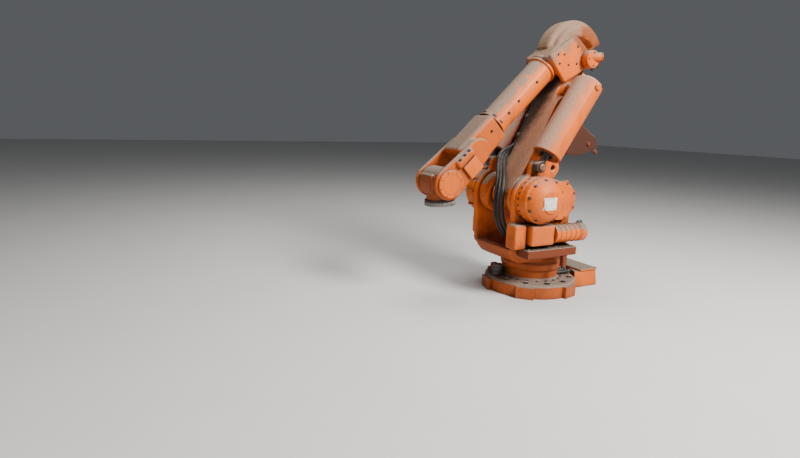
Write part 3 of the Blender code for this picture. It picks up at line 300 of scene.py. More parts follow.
class Graph:
    """A material's nodes, written as nested calls."""

    def __init__(self, name: str) -> None:
        """Start a material with a plain shader.

        Args:
            name: The material's name.
        """
        self.material = bpy.data.materials.new(name)
        self.material.use_nodes = True
        self.tree = self.material.node_tree
        self.shader = self.tree.nodes["Principled BSDF"]
        self.coords = self.tree.nodes.new("ShaderNodeTexCoord")

    def node(self, kind: str, **settings: object) -> bpy.types.Node:
        """Add a node.

        Args:
            kind: The node's type.
            **settings: Properties to set on it.

        Returns:
            The node.
        """
        made = self.tree.nodes.new(kind)
        for key, value in settings.items():
            setattr(made, key, value)
        return made

    def feed(self, socket: bpy.types.NodeSocket, value: object) -> None:
        """Link an output to a socket, or set the socket's own value.

        Args:
            socket: The socket that takes it.
            value: An output, or a plain value.
        """
        if isinstance(value, bpy.types.NodeSocket):
            self.tree.links.new(value, socket)
        else:
            socket.default_value = value

    def place(self, stretch: Point = (1.0, 1.0, 1.0)) -> bpy.types.NodeSocket:
        """Give stretched Object coordinates.

        Args:
            stretch: The factor along each axis.

        Returns:
            The coordinates.
        """
        mapping = self.node("ShaderNodeMapping")
        self.feed(mapping.inputs["Vector"], self.coords.outputs["Object"])
        mapping.inputs["Scale"].default_value = stretch
        return mapping.outputs["Vector"]

    def noise(
        self, scale: float, detail: float = 4.0, rough: float = 0.55, stretch: Point = (1.0, 1.0, 1.0)
    ) -> bpy.types.NodeSocket:
        """Give noise on Object coordinates.

        Args:
            scale: How fine it is.
            detail: The number of finer layers in it.
            rough: How strong the finer layers are.
            stretch: The factor along each axis.

        Returns:
            The noise, from 0 to 1.
        """
        made = self.node("ShaderNodeTexNoise")
        self.feed(made.inputs["Vector"], self.place(stretch))
        made.inputs["Scale"].default_value = scale
        made.inputs["Detail"].default_value = detail
        made.inputs["Roughness"].default_value = rough
        return made.outputs["Fac"]

    def span(
        self, value: object, low: float, high: float, to_low: float = 0.0, to_high: float = 1.0
    ) -> bpy.types.NodeSocket:
        """Map a value's span to another, smoothly and clamped.

        Args:
            value: The value.
            low: Where its span starts.
            high: Where its span ends. A lower number than the start turns the span round.
            to_low: What the start gives.
            to_high: What the end gives.

        Returns:
            The mapped value.
        """
        made = self.node("ShaderNodeMapRange", interpolation_type="SMOOTHSTEP")
        self.feed(made.inputs["Value"], value)
        for key, number in (("From Min", low), ("From Max", high), ("To Min", to_low), ("To Max", to_high)):
            made.inputs[key].default_value = number
        return made.outputs["Result"]

    def sum(self, kind: str, first: object, second: object) -> bpy.types.NodeSocket:
        """Give one step of arithmetic on two values.

        Args:
            kind: The operation.
            first: Its first value.
            second: Its second value.

        Returns:
            The result, clamped to 0 to 1.
        """
        made = self.node("ShaderNodeMath", operation=kind, use_clamp=True)
        self.feed(made.inputs[0], first)
        self.feed(made.inputs[1], second)
        return made.outputs[0]

    def mix(self, share: object, first: object, second: object) -> bpy.types.NodeSocket:
        """Mix two colours.

        Args:
            share: How much of the second colour there is, from 0 to 1.
            first: The first colour.
            second: The second colour.

        Returns:
            The mixed colour.
        """
        made = self.node("ShaderNodeMix", data_type="RGBA")
        self.feed(made.inputs[0], share)
        for socket, value in ((made.inputs[6], first), (made.inputs[7], second)):
            self.feed(socket, (*value, 1.0) if isinstance(value, tuple) else value)
        return made.outputs[2]

    def upward(self) -> bpy.types.NodeSocket:
        """Give the height of the piece's own surface normal.

        Returns:
            1 where the surface faces straight up and -1 where it faces down.
        """
        split = self.node("ShaderNodeSeparateXYZ")
        self.feed(split.inputs[0], self.coords.outputs["Normal"])
        return split.outputs["Z"]

    def edges(self, radius: float) -> bpy.types.NodeSocket:
        """Find the outer edges, where paint wears off.

        Args:
            radius: How far from an edge the wear reaches.

        Returns:
            1 at worn edges and 0 on open faces.
        """
        bevel = self.node("ShaderNodeBevel", samples=4)
        bevel.inputs["Radius"].default_value = radius
        plain = self.node("ShaderNodeNewGeometry")
        alike = self.node("ShaderNodeVectorMath", operation="DOT_PRODUCT")
        self.feed(alike.inputs[0], bevel.outputs["Normal"])
        self.feed(alike.inputs[1], plain.outputs["Normal"])
        return self.span(alike.outputs["Value"], 0.99, 0.86)

    def crevice_shade_and_dirt(self, reach: float) -> bpy.types.NodeSocket:
        """Find the seams and inner corners, where painted shade and dirt darken the paint.

        Args:
            reach: How far a face that shades the surface may be.

        Returns:
            1 deep in seams and 0 on open faces.
        """
        made = self.node("ShaderNodeAmbientOcclusion", samples=6)
        made.inputs["Distance"].default_value = reach
        return self.span(made.outputs["AO"], 0.78, 0.30)

    def bump(self, height: object, strength: float, distance: float) -> None:
        """Give the shader a bump.

        Args:
            height: The pattern of heights.
            strength: How strong the bump is, from 0 to 1.
            distance: The height of the pattern's 1, in metres.
        """
        made = self.node("ShaderNodeBump")
        made.inputs["Strength"].default_value = strength
        made.inputs["Distance"].default_value = distance
        self.feed(made.inputs["Height"], height)
        self.feed(self.shader.inputs["Normal"], made.outputs["Normal"])


class Finish:
    """What every finish gives: its material, made once."""

    made: dict[object, bpy.types.Material] = {}

    def material(self) -> bpy.types.Material:
        """Give the finish's material, which is made the first time.

        Returns:
            The material.
        """
        if self not in Finish.made:
            Finish.made[self] = self.build()
        return Finish.made[self]

    def build(self) -> bpy.types.Material:
        """Make the material."""
        raise NotImplementedError


@dataclass(frozen=True)
class DustAndShadePatch:
    """A broad patch beyond a slanting line, used for dust below a roof and for painted shade and painted shadow.

    The line is where the place along the direction, clamped to 0 to 1, is between start and full.
    """

    direction: tuple[float, float, float]
    start: float
    full: float
    share: float = 0.93
    # The default colours are the near-black of a painted shadow.
    dark: Colour = (0.017, 0.013, 0.011)
    pale: Colour = (0.050, 0.030, 0.022)
    blotches: float = 0.018

    def over(self, g: Graph, body: bpy.types.NodeSocket) -> bpy.types.NodeSocket:
        """Lay the patch over the paint.

        Args:
            g: The material's nodes.
            body: The paint's colour.

        Returns:
            The colour with the patch on it.
        """
        along = g.node("ShaderNodeVectorMath", operation="DOT_PRODUCT")
        g.feed(along.inputs[0], g.coords.outputs["Object"])
        along.inputs[1].default_value = self.direction
        blotch = g.noise(14.0, 5.0, 0.6)
        reach = g.sum("ADD", along.outputs["Value"], g.span(blotch, 0.3, 0.7, -self.blotches, self.blotches))
        share = g.span(reach, self.start, self.full, 0.0, self.share)
        return g.mix(share, body, g.mix(blotch, self.dark, self.pale))


@dataclass(frozen=True)
class WornPaint(Finish):
    """Old orange machine paint: sun-faded, streaked, chipped at its edges, under dust where it faces up, with painted
    shade where it faces down and in its seams.
    """

    name: str
    colour: Colour = (0.70, 0.128, 0.006)
    deep: Colour = (0.27, 0.036, 0.008)
    dust: Colour = (0.235, 0.186, 0.140)
    dust_amount: float = 0.92
    dust_from: float = 0.34
    dust_to: float = 0.54
    film: float = 0.06
    wear: float = 0.6
    roughness: float = 0.46
    label: tuple[float, float, float, float] | None = None
    dust_and_shade_patches: tuple[DustAndShadePatch, ...] = ()
    ragged: float = 0.05
    edge_reach: float = 0.005
    seam_reach: float = 0.09
    gloss: float = 0.22

    def build(self) -> bpy.types.Material:
        """Make the paint with its streaks, chips and dust, its patches of dust and painted shade, and painted shade
        underneath and in seams.

        Returns:
            The material.
        """
        g = Graph(self.name)
        broad = g.noise(2.6, 3.0)
        middle = g.noise(11.0, 5.0, 0.6)
        fine = g.noise(70.0, 5.0, 0.65)
        bare = self.bare_spots(g, middle, fine)
        dusty = self.dusty_spots(g, broad, middle)
        body = g.mix(bare, self.faded(g, broad, middle), PRIMER_BROWN)
        body = g.mix(dusty, body, g.mix(g.span(fine, 0.35, 0.70), self.dust, tuple(c * 0.72 for c in self.dust)))
        # Painted shade: what faces down is darkened towards the deep colour.
        under = g.span(g.upward(), -0.30, -0.95)
        body = g.mix(g.sum("MULTIPLY", under, 0.35), body, self.deep)
        # Painted shade and dirt: seams and inner corners are darkened by ambient occlusion.
        seams = g.sum("MULTIPLY", g.crevice_shade_and_dirt(self.seam_reach), g.span(middle, 0.25, 0.60, 0.55, 1.0))
        body = g.mix(g.sum("MULTIPLY", seams, 0.85), body, SEAM_SHADE_AND_DIRT)
        # Patches of dust and of painted shade and shadow.
        for patch_mark in self.dust_and_shade_patches:
            body = patch_mark.over(g, body)
        if self.label:
            body = self.with_label(g, body)
        g.feed(g.shader.inputs["Base Color"], body)
        g.feed(g.shader.inputs["Roughness"], g.span(dusty, 0.0, 0.8, self.roughness, 0.92))
        g.shader.inputs["Specular IOR Level"].default_value = self.gloss
        relief = g.sum("SUBTRACT", g.sum("MULTIPLY", g.sum("ADD", fine, middle), 0.5), g.sum("MULTIPLY", bare, 0.4))
        g.bump(relief, 0.35, 0.0016)
        return g.material

    def faded(self, g: Graph, broad: bpy.types.NodeSocket, middle: bpy.types.NodeSocket) -> bpy.types.NodeSocket:
        """Give the paint's own colour, with faded areas, brighter patches and darker streaks down it.

        Args:
            g: The material's nodes.
            broad: Noise of the size of a panel.
            middle: Noise of the size of a hand.

        Returns:
            The colour.
        """
        streak = g.noise(9.0, 4.0, 0.6, (1.0, 1.0, 0.10))
        body = g.mix(g.span(broad, 0.35, 0.72), self.colour, tuple(c * 0.78 for c in self.colour))
        body = g.mix(g.sum("MULTIPLY", g.span(streak, 0.52, 0.78), 0.55), body, self.deep)
        return g.mix(g.span(middle, 0.56, 0.80, 0.0, 0.35), body, tuple(c * 1.05 + 0.02 for c in self.colour))

    def bare_spots(self, g: Graph, middle: bpy.types.NodeSocket, fine: bpy.types.NodeSocket) -> bpy.types.NodeSocket:
        """Find where paint is chipped off or worn through at an edge.

        Args:
            g: The material's nodes.
            middle: Noise of the size of a hand.
            fine: Noise of the size of a chip.

        Returns:
            1 on bare spots and 0 on whole paint.
        """
        chips = g.sum("MULTIPLY", g.span(fine, 0.66, 0.70), g.span(middle, 0.50, 0.62))
        edges = g.sum("MULTIPLY", g.edges(self.edge_reach), g.span(fine, 0.40, 0.58))
        return g.sum("MAXIMUM", g.sum("MULTIPLY", chips, 0.8), g.sum("MULTIPLY", edges, self.wear))

    def dusty_spots(self, g: Graph, broad: bpy.types.NodeSocket, middle: bpy.types.NodeSocket) -> bpy.types.NodeSocket:
        """Find where dust lies: thickly on what faces up, with a ragged border, and as a film elsewhere.

        Args:
            g: The material's nodes.
            broad: Noise of the size of a panel.
            middle: Noise of the size of a hand.

        Returns:
            The dust's share, from 0 to 1.
        """
        ragged = g.sum("ADD", g.upward(), g.span(middle, 0.36, 0.64, -self.ragged, self.ragged))
        lie = g.span(ragged, self.dust_from, self.dust_to)
        patches = g.span(g.sum("ADD", g.sum("MULTIPLY", middle, 0.6), g.sum("MULTIPLY", broad, 0.4)), 0.34, 0.56)
        settled = g.sum("MULTIPLY", g.sum("MULTIPLY", lie, g.sum("ADD", patches, 0.72)), self.dust_amount)
        return g.sum("MAXIMUM", settled, g.span(broad, 0.38, 0.70, 0.0, self.film))

    def with_label(self, g: Graph, body: bpy.types.NodeSocket) -> bpy.types.NodeSocket:
        """Lay a blank pale plate's colour over the paint.

        Args:
            g: The material's nodes.
            body: The paint's colour.

        Returns:
            The colour with the plate in it.
        """
        x, z, half, above = self.label
        tall, soft = half * 0.8, 0.001
        split = g.node("ShaderNodeSeparateXYZ")
        g.feed(split.inputs[0], g.coords.outputs["Object"])
        inside = g.span(split.outputs["Y"], above - 2 * soft, above)
        for axis, middle, reach in (("X", x, half), ("Z", z, tall)):
            for edge, step in ((middle - reach, soft), (middle + reach, -soft)):
                inside = g.sum("MULTIPLY", inside, g.span(split.outputs[axis], edge - step, edge + step))
        patch_mark = g.span(g.noise(38.0, 4.0), 0.42, 0.68)
        return g.mix(inside, body, g.mix(patch_mark, PLATE_WHITE, PLATE_STAIN))


@dataclass(frozen=True)
class Steel(Finish):
    """Bare or blackened steel with a brushed grain, fine rust and a little dust."""

    name: str
    colour: Colour
    rust: float
    roughness: float
    metallic: float

    def build(self) -> bpy.types.Material:
        """Make the metal.

        Returns:
            The material.
        """
        g = Graph(self.name)
        grain = g.noise(60.0, 4.0, 0.6, (1.0, 6.0, 1.0))
        spots = g.noise(24.0, 5.0, 0.65)
        colour = g.mix(g.span(grain, 0.35, 0.65), self.colour, tuple(c * 0.62 for c in self.colour))
        rusty = g.sum("MULTIPLY", g.span(spots, 0.50, 0.68), self.rust)
        colour = g.mix(rusty, colour, LIGHT_RUST)
        dusty = g.sum("MULTIPLY", g.span(g.upward(), 0.30, 0.90), g.span(spots, 0.30, 0.62, 0.35, 0.85))
        covered = g.sum("MAXIMUM", rusty, dusty)
        g.feed(g.shader.inputs["Base Color"], g.mix(dusty, colour, STEEL_DUST))
        g.feed(g.shader.inputs["Metallic"], g.span(covered, 0.05, 0.6, self.metallic, 0.05))
        g.feed(g.shader.inputs["Roughness"], g.span(covered, 0.0, 0.6, self.roughness, 0.88))
        g.bump(grain, 0.15, 0.0006)
        return g.material


@dataclass(frozen=True)
class DarkRubber(Finish):
    """Black rubber or plastic, greyed by fine dust on top."""

    name: str
    colour: Colour
    roughness: float
    dust: float

    def build(self) -> bpy.types.Material:
        """Make the rubber.

        Returns:
            The material.
        """
        g = Graph(self.name)
        spots = g.noise(30.0, 4.0, 0.6)
        fine = g.noise(220.0, 3.0)
        lie = g.sum("MULTIPLY", g.span(g.upward(), 0.0, 0.95), g.span(spots, 0.30, 0.65, 0.25, 1.0))
        dusty = g.sum("MULTIPLY", lie, self.dust)
        colour = g.mix(g.span(spots, 0.35, 0.70), self.colour, tuple(c * 1.7 for c in self.colour))
        g.feed(g.shader.inputs["Base Color"], g.mix(dusty, colour, RUBBER_DUST))
        g.feed(g.shader.inputs["Roughness"], g.span(dusty, 0.0, 0.5, self.roughness, 0.9))
        g.bump(fine, 0.2, 0.0005)
        return g.material


PAINT = WornPaint("worn_orange")
DUSTY_PAINT = WornPaint("dusty_orange_paint", dust_amount=1.0, dust_from=0.20, dust_to=0.42, film=0.20)
# Painted light and shadow: the dust colour is lighter to stand in for light on the arm's front, and the patch is a
# painted shadow of the forearm over the arm's upper far side.
ARM_PAINT = WornPaint(
    "arm_paint", dust=(0.74, 0.44, 0.275), dust_amount=0.88, dust_from=0.16, dust_to=0.40,
    dust_and_shade_patches=(DustAndShadePatch((-0.1162, -1.0, 0.2437), 0.270, 0.425),),
)
CYLINDER_PAINT = WornPaint(
    "cylinder_paint", dust=(0.40, 0.240, 0.160), dust_amount=0.95, dust_from=0.19, dust_to=0.46, film=0.10
)
FORK_PAINT = WornPaint("fork_paint", colour=(0.50, 0.090, 0.007), deep=(0.20, 0.030, 0.008), film=0.04)
ELBOW_PAINT = WornPaint(
    "elbow_paint", dust=(0.270, 0.168, 0.108), dust_amount=1.0, dust_from=0.02, dust_to=0.45, film=0.50,
    dust_and_shade_patches=(
        DustAndShadePatch((0.30, 0.0, 0.40), 0.778, 0.820, 0.88, (0.255, 0.160, 0.102), (0.200, 0.128, 0.082), 0.018),
        # Painted shade: a dark red patch on the elbow; the patch above it is dust.
        DustAndShadePatch((-0.30, 0.92, 0.25), 0.712, 0.738, 0.90, (0.100, 0.024, 0.009), (0.300, 0.085, 0.028), 0.016),
    ),
)
# Painted shade: a darker orange for the low castings, which sit in shade.
LOW_SHADED_PAINT = WornPaint("low_shaded_orange", colour=(0.42, 0.078, 0.010), deep=(0.17, 0.026, 0.008), film=0.04)
# Rust and painted shade: a darker orange with heavy edge wear, for parts that sit in shade.
RUSTY_SHADED_PAINT = WornPaint(
    "rusty_and_shaded_paint", colour=(0.34, 0.075, 0.016), deep=(0.080, 0.022, 0.012), dust_from=0.30, dust_to=0.60, wear=0.9
)
# Painted shade: orange darkened for small parts that sit in shade.
SHADE_DARKENED_PAINT = WornPaint(
    "shade_darkened_orange", colour=(0.17, 0.034, 0.008), deep=(0.08, 0.016, 0.006), film=0.03, roughness=0.58
)
# Painted shade: a very dark maroon for the counterweight, which sits in shade.
MAROON_SHADE_PAINT = WornPaint(
    "maroon_shade_paint", colour=(0.062, 0.018, 0.009), deep=(0.050, 0.013, 0.007), dust=(0.15, 0.090, 0.065), roughness=0.6
)
FAR_PAINT = WornPaint(
    "shaded_orange", colour=(0.30, 0.070, 0.022), deep=(0.12, 0.026, 0.012), dust_from=0.05, dust_to=0.40, film=0.25
)
DOME_PAINT = WornPaint(
    "dome_orange", dust_amount=0.55, dust_from=0.52, dust_to=0.92, label=(0.293, 0.843, 0.062, 0.455)
)
BODY_PAINT = WornPaint(
    "body_paint",
    # Painted shade: darker towards the bottom, from a height of 0.66 m down to 0.40 m.
    dust_and_shade_patches=(DustAndShadePatch((0.0, 0.0, 1.0), 0.66, 0.40, 0.72, (0.110, 0.024, 0.009), (0.330, 0.066, 0.014), 0.06),),
)
BOLT_RUSTY = Steel("rusty_screws", (0.110, 0.044, 0.022), 0.75, 0.70, 0.15)
BOLT_BLACK = Steel("blackened_screws", (0.028, 0.025, 0.023), 0.40, 0.55, 0.4)
BOLT_STEEL = Steel("plain_screws", (0.28, 0.26, 0.24), 0.55, 0.42, 0.85)
ROD_STEEL = Steel("greasy_rod", (0.090, 0.084, 0.078), 0.45, 0.42, 0.7)
GREY_CAST = Steel("grey_unit", (0.085, 0.082, 0.078), 0.20, 0.55, 0.3)
RUBBER = DarkRubber("black_hose", (0.010, 0.0095, 0.009), 0.62, 0.22)
SEAL = DarkRubber("black_seal", (0.014, 0.013, 0.013), 0.42, 0.25)


def dress_nodes(finish: Finish, *names: str) -> None:
    """Give some CAD nodes a finish.

    Args:
        finish: The finish.
        *names: The nodes' names.
    """
    for name in names:
        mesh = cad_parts[name].data
        mesh.materials.clear()
        mesh.materials.append(finish.material())
        log.info("dressed %s in %s", name, finish.material().name)


@dataclass(frozen=True)
class Casting:
    """Solids of one body shown as a sand casting, with its edges and inner corners rounded."""

    name: str
    body: str
    finish: Finish
    slot: str
    nodes: tuple[str, ...]
    voxel: float
    passes: int

    def make(self) -> None:
        """Join the solids, remesh and smooth them, and put the result in their place."""
        shape = Shape()
        for name in self.nodes:
            part = bmesh.new()
            part.from_mesh(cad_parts[name].data)
            shape.absorb(part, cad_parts[name].matrix_world)
        rough = bpy.data.meshes.new("rough_casting")
        shape.work.to_mesh(rough)
        shape.work.clear()
        holder = bpy.data.objects.new("rough_casting", rough)
        bpy.context.scene.collection.objects.link(holder)
        remesh = holder.modifiers.new("remesh", "REMESH")
        remesh.mode = "VOXEL"
        remesh.voxel_size = self.voxel
        smooth = holder.modifiers.new("smooth", "SMOOTH")
        smooth.factor = 0.5
        smooth.iterations = self.passes
        bpy.context.view_layer.update()
        soft = bpy.data.meshes.new_from_object(holder.evaluated_get(bpy.context.evaluated_depsgraph_get()))
        shape.work.from_mesh(soft)
        bpy.data.objects.remove(holder, do_unlink=True)
        for mesh in (rough, soft):
            bpy.data.meshes.remove(mesh)
        shape.finish(self.name, self.body, self.finish, self.slot, *self.nodes)


CASTINGS = (
    Casting("elbow", "upper_arm_body", ELBOW_PAINT, "dusty_orange", ("elbow_casting", "elbow_hood"), 0.0055, 14),
    Casting("lower_arm_casting", "lower_arm_body", ARM_PAINT, "dusty_orange", ("lower_arm",), 0.006, 10),
    Casting("forearm_front", "forearm_body", FORK_PAINT, "orange_paint", ("forearm_fork",), 0.005, 10),
    Casting("weight", "crank_body", MAROON_SHADE_PAINT, "dark_orange", ("counterweight",), 0.007, 8),
    Casting(
        "turntable_body", "turntable", BODY_PAINT, "orange_paint",
        ("turntable_casting", "left_cheek", "right_cheek"), 0.008, 8,
    ),
)


@dataclass
class Foot:
    """The round foot, its box with sockets and short leads, and the fittings on its front."""

    body: str = "base"
    flange_top: float = 0.118
    bolt_circle: float = 0.345
    pad_reach: float = 0.425
    plug_heights: tuple[float, ...] = (0.030, 0.068)
    neck_radius: float = 0.238
    lid_top: float = 0.1683
    lid_screw_y: float = 0.214
    lid_screws_x: tuple[float, ...] = (-0.420, -0.510, -0.590)
    box_back: float = -0.6055
    box_sockets: tuple[tuple[float, float], ...] = ((-0.120, 0.034), (0.0, 0.028), (0.110, 0.034))
    box_front: float = -0.3296
    lead_height: float = 0.143
    leads: tuple[tuple[float, float], ...] = (
        (-0.105, 0.013), (-0.040, 0.015), (0.030, 0.013), (0.095, 0.015), (0.150, 0.011)
    )
    fitting_circle: float = 0.320
    stop_turn: float = math.radians(-31.0)
    switch_turn: float = math.radians(-13.0)

    def make(self) -> None:
        """Make the foot's pieces."""
        anchors = Shape()
        for x, y in ring(12, self.bolt_circle, 15.0):
            anchors.screw(facing((x, y, self.flange_top), (0, 0, 1), x * 9), 0.021, 0.016, Head.HEX)
        for x, y in ring(20, self.neck_radius + 0.030, 9.0):
            anchors.screw(facing((x, y, self.flange_top), (0, 0, 1)), 0.0085, 0.008)
        anchors.finish("foot_bolts", self.body, BOLT_BLACK, "grey_cast")
        self.make_pads()
        self.make_box()
        self.make_leads()
        self.make_stop()

    def make_pads(self) -> None:
        """Make the plugs in the outer face of each levelling pad."""
        plugs = Shape()
        for index in range(6):
            turn = Matrix.Rotation(math.radians(45.0 + 60.0 * index), 4, "Z")
            for height in self.plug_heights:
                plugs.turned(
                    [(0.0, 0.0), (0.0105, 0.0), (0.0130, 0.0035), (0.0150, 0.0039), (0.0150, 0.0030)],
                    turn @ facing((self.pad_reach - 0.0035, -0.036, height), (1, 0, 0)),
                    20,
                )
        plugs.finish("pad_plugs", self.body, SEAL, "grey_cast")

    def make_box(self) -> None:
        """Make the screws of the box's lid and the closed plug sockets on its back."""
        screws = Shape()
        for x in self.lid_screws_x:
            for side in (-1, 1):
                place = (x, side * self.lid_screw_y, self.lid_top)
                screws.screw(facing(place, (0, 0, 1)), 0.007, 0.005, Head.BUTTON)
        screws.finish("lid_screws", self.body, BOLT_STEEL, "grey_cast")
        sockets = Shape()
        for y, size in self.box_sockets:
            sockets.turned(
                [
                    (0.0, 0.010), (size * 0.8, 0.010), (size * 0.85, 0.006), (size * 0.95, 0.006),
                    (size, 0.003), (size, -0.004), (size * 1.25, -0.004), (size * 1.25, -0.008),
                ],
                facing((self.box_back, y, 0.082), (-1.0, 0.0, 0.2)),
                28,
            )
        sockets.finish("box_sockets", self.body, GREY_CAST, "grey_cast")

    def make_leads(self) -> None:
        """Make the short leads from the box to the foot's neck, thicker at both ends."""
        leads = Shape()
        for y, size in self.leads:
            run = -math.sqrt(self.neck_radius**2 - y**2) - self.box_front
            leads.turned(
                [
                    (0.0, -0.004), (size * 1.45, -0.004), (size * 1.45, 0.016), (size * 1.25, 0.020), (size, 0.022),
                    (size, run - 0.024), (size * 1.3, run - 0.020), (size * 1.3, run + 0.006), (0.0, run + 0.006),
                ],
                facing((self.box_front, y, self.lead_height), (1, 0, 0)),
                24,
            )
        leads.finish("box_leads", self.body, RUBBER, "grey_cast")

    def make_stop(self) -> None:
        """Make the rubber faces of the turning stop and the two bands of the round switch."""
        x, y = self.fitting_circle * math.cos(self.stop_turn), self.fitting_circle * math.sin(self.stop_turn)
        buffers = Shape()
        for side in (-1, 1):
            buffers.turned(
                [(0.0, 0.010), (0.014, 0.010), (0.018, 0.005), (0.018, -0.002)],
                facing((x, y + side * 0.030, 0.160), (0, side, 0)),
                20,
            )
        buffers.finish("stop_buffers", self.body, RUBBER, "grey_cast")
        x, y = self.fitting_circle * math.cos(self.switch_turn), self.fitting_circle * math.sin(self.switch_turn)
        bands = Shape()
        for profile in (
            [(0.0457, 0.150), (0.0475, 0.152), (0.0475, 0.160), (0.0457, 0.162)],
            [(0.0457, 0.188), (0.0470, 0.189), (0.0470, 0.196), (0.0457, 0.197)],
        ):
            bands.turned(profile, Matrix.Translation((x, y, 0.0)), 28)
        bands.finish("switch_bands", self.body, SEAL, "grey_cast")


@dataclass
class Turntable:
    """The turning body with its cheeks, gear covers and motors."""

    body: str = "turntable"
    cheek_outer: float = 0.2848
    lobe_x: float = 0.020
    lobe_z: float = 0.830
    lobe_radius: float = 0.155
    lobe_face: float = 0.3201
    dome_radius: float = 0.190
    dome_skirt: float = 0.4051
    boss_circle: float = 0.165
    plate_face: float = 0.3301
    plate_back: float = 0.022
    cheek_screws_x: tuple[float, ...] = (-0.085, -0.010, 0.065, 0.140, 0.215, 0.290)
    cheek_screws_z: float = 0.362
    pin_face: float = 0.3670
    housing_depth: float = 0.1153
    housing_circle: float = 0.136
    shelf_screws_x: tuple[float, ...] = (-0.095, 0.095, 0.380)
    shelf_top: float = 0.4520

    def make(self) -> None:
        """Make the turntable's pieces."""
        self.make_dome_screws()
        self.make_cover_screws()
        for side in (1, -1):
            self.make_motor(side)
        self.make_cheek_fittings()
        self.make_housing()
        self.make_shelf()

    def make_dome_screws(self) -> None:
        """Make the dome's bosses with their screws, the small screws at its edge and the ring round it."""
        bosses = Shape()
        screws = Shape()
        for index, (x, z) in enumerate(ring(10, self.boss_circle, 12.0)):
            out = Vector((x, 0.0, z)).normalized()
            place = Vector((AXIS2.x, self.dome_skirt + 0.024, AXIS2.z)) + self.boss_circle * out
            lean = Vector((0.0, 1.0, 0.0)) + 0.45 * out
            bosses.turned([(0.0, 0.0), (0.0185, 0.0), (0.0215, -0.004), (0.0220, -0.032)], facing(place, lean), 20)
            screws.screw(facing(place, lean, index * 0.7), 0.0130, 0.010)
        for index, (x, z) in enumerate(ring(24, 1.0, 4.0)):
            place = (AXIS2.x + x * self.dome_radius, self.cheek_outer + 0.034, AXIS2.z + z * self.dome_radius)
            screws.screw(facing(place, (x, 0.0, z), index), 0.0062, 0.0048)
        bosses.turned(
            [(self.dome_radius - 0.001, -0.058), (self.dome_radius + 0.0035, -0.060),
             (self.dome_radius + 0.0035, -0.068), (self.dome_radius - 0.001, -0.070)],
            facing((AXIS2.x, self.dome_skirt, AXIS2.z), (0, 1, 0)),
            64,
        )
        bosses.finish("dome_bosses", self.body, PAINT, "orange_paint")
        screws.finish("dome_screws", self.body, BOLT_BLACK, "grey_cast")

    def make_cover_screws(self) -> None:
        """Make the screws and the raised plate of the lobed cover."""
        screws = Shape()
        for index, (x, z) in enumerate(ring(8, self.lobe_radius, 22.5)):
            place = Vector((self.lobe_x + x, self.lobe_face, self.lobe_z + z))
            if (place - Vector((AXIS2.x, self.lobe_face, AXIS2.z))).length < self.dome_radius + 0.02:
                continue
            screws.screw(facing(place, (0, 1, 0), index), 0.0125, 0.010)
        screws.finish("gear_cover_screws", self.body, BOLT_BLACK, "grey_cast")
        plate = Shape()
        plate.turned(
            [(0.0, 0.007), (0.066, 0.007), (0.072, 0.003), (0.078, 0.003), (0.080, 0.0), (0.080, -0.004)],
            facing((self.lobe_x - self.plate_back, self.plate_face, self.lobe_z), (0, 1, 0)),
            48,
        )
        plate.finish("gear_cover_plate", self.body, PAINT, "orange_paint")

    def make_motor(self, side: int) -> None:
        """Make a ribbed motor with its sockets and the screws of its end cap.

        Args:
            side: 1 for the left motor, -1 for the right one.
        """
        label = "left" if side > 0 else "right"
        low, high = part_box(f"{label}_drive_motor")
        y, z = (low.y + high.y) / 2, (low.z + high.z) / 2
        base = standing((low.x, y, z)) @ Matrix.Rotation(math.radians(90.0), 4, "Y")
        length = high.x - low.x
        radius = (high.z - low.z) / 2
        fins = Shape()
        inner = radius - 0.006
        profile = [(0.0, length), (radius, length), (radius, length - 0.016), (inner, length - 0.019)]
        step = (length - 0.060) / 4
        for index in range(4):
            top = length - 0.046 - index * step
            profile += [(inner, top), (radius, top - 0.004), (radius, top - 0.013), (inner, top - 0.017)]
        profile += [(inner, 0.012), (radius, 0.010), (radius, 0.0), (0.0, 0.0)]
        fins.turned(profile, base, 48)
        fins.finish(f"{label}_motor_fins", self.body, PAINT, "orange_paint", f"{label}_drive_motor")
        sockets = Shape()
        for back in (0.022, 0.052):
            sockets.turned(
                [(0.0, 0.020), (0.011, 0.020), (0.013, 0.017), (0.013, 0.006), (0.0155, 0.005), (0.0155, -0.010)],
                facing((low.x - 0.0703 + back, y, z + 0.078), (-0.25, 0.0, 1.0)),
                20,
            )
        sockets.finish(f"{label}_motor_sockets", self.body, GREY_CAST, "grey_cast")
        screws = Shape()
        for x, height in ring(4, 0.060, 45.0):
            screws.screw(facing((low.x - 0.0706, y + x, z + height), (-1, 0, 0)), 0.0065, 0.005, Head.BUTTON)
        screws.finish(f"{label}_motor_screws", self.body, BOLT_BLACK, "grey_cast")

    def make_cheek_fittings(self) -> None:
        """Make the screws along the foot of each cheek and the caps of the rods' pins."""
        screws = Shape()
        rings = Shape()
        for side in (1, -1):
            for x in self.cheek_screws_x:
                place = (x, side * self.cheek_outer, self.cheek_screws_z)
                screws.screw(facing(place, (0, side, 0)), 0.0105, 0.009)
            rings.turned(
                [(0.0, 0.0035), (0.007, 0.0035), (0.008, 0.0015), (0.019, 0.0015), (0.020, 0.0), (0.020, -0.002)],
                facing((SPRING_EYE.x, side * self.pin_face, SPRING_EYE.z), (0, side, 0)),
                28,
            )
        screws.finish("cheek_screws", self.body, BOLT_BLACK, "grey_cast")
        rings.finish("rod_pin_caps", self.body, BOLT_STEEL, "bare_steel")

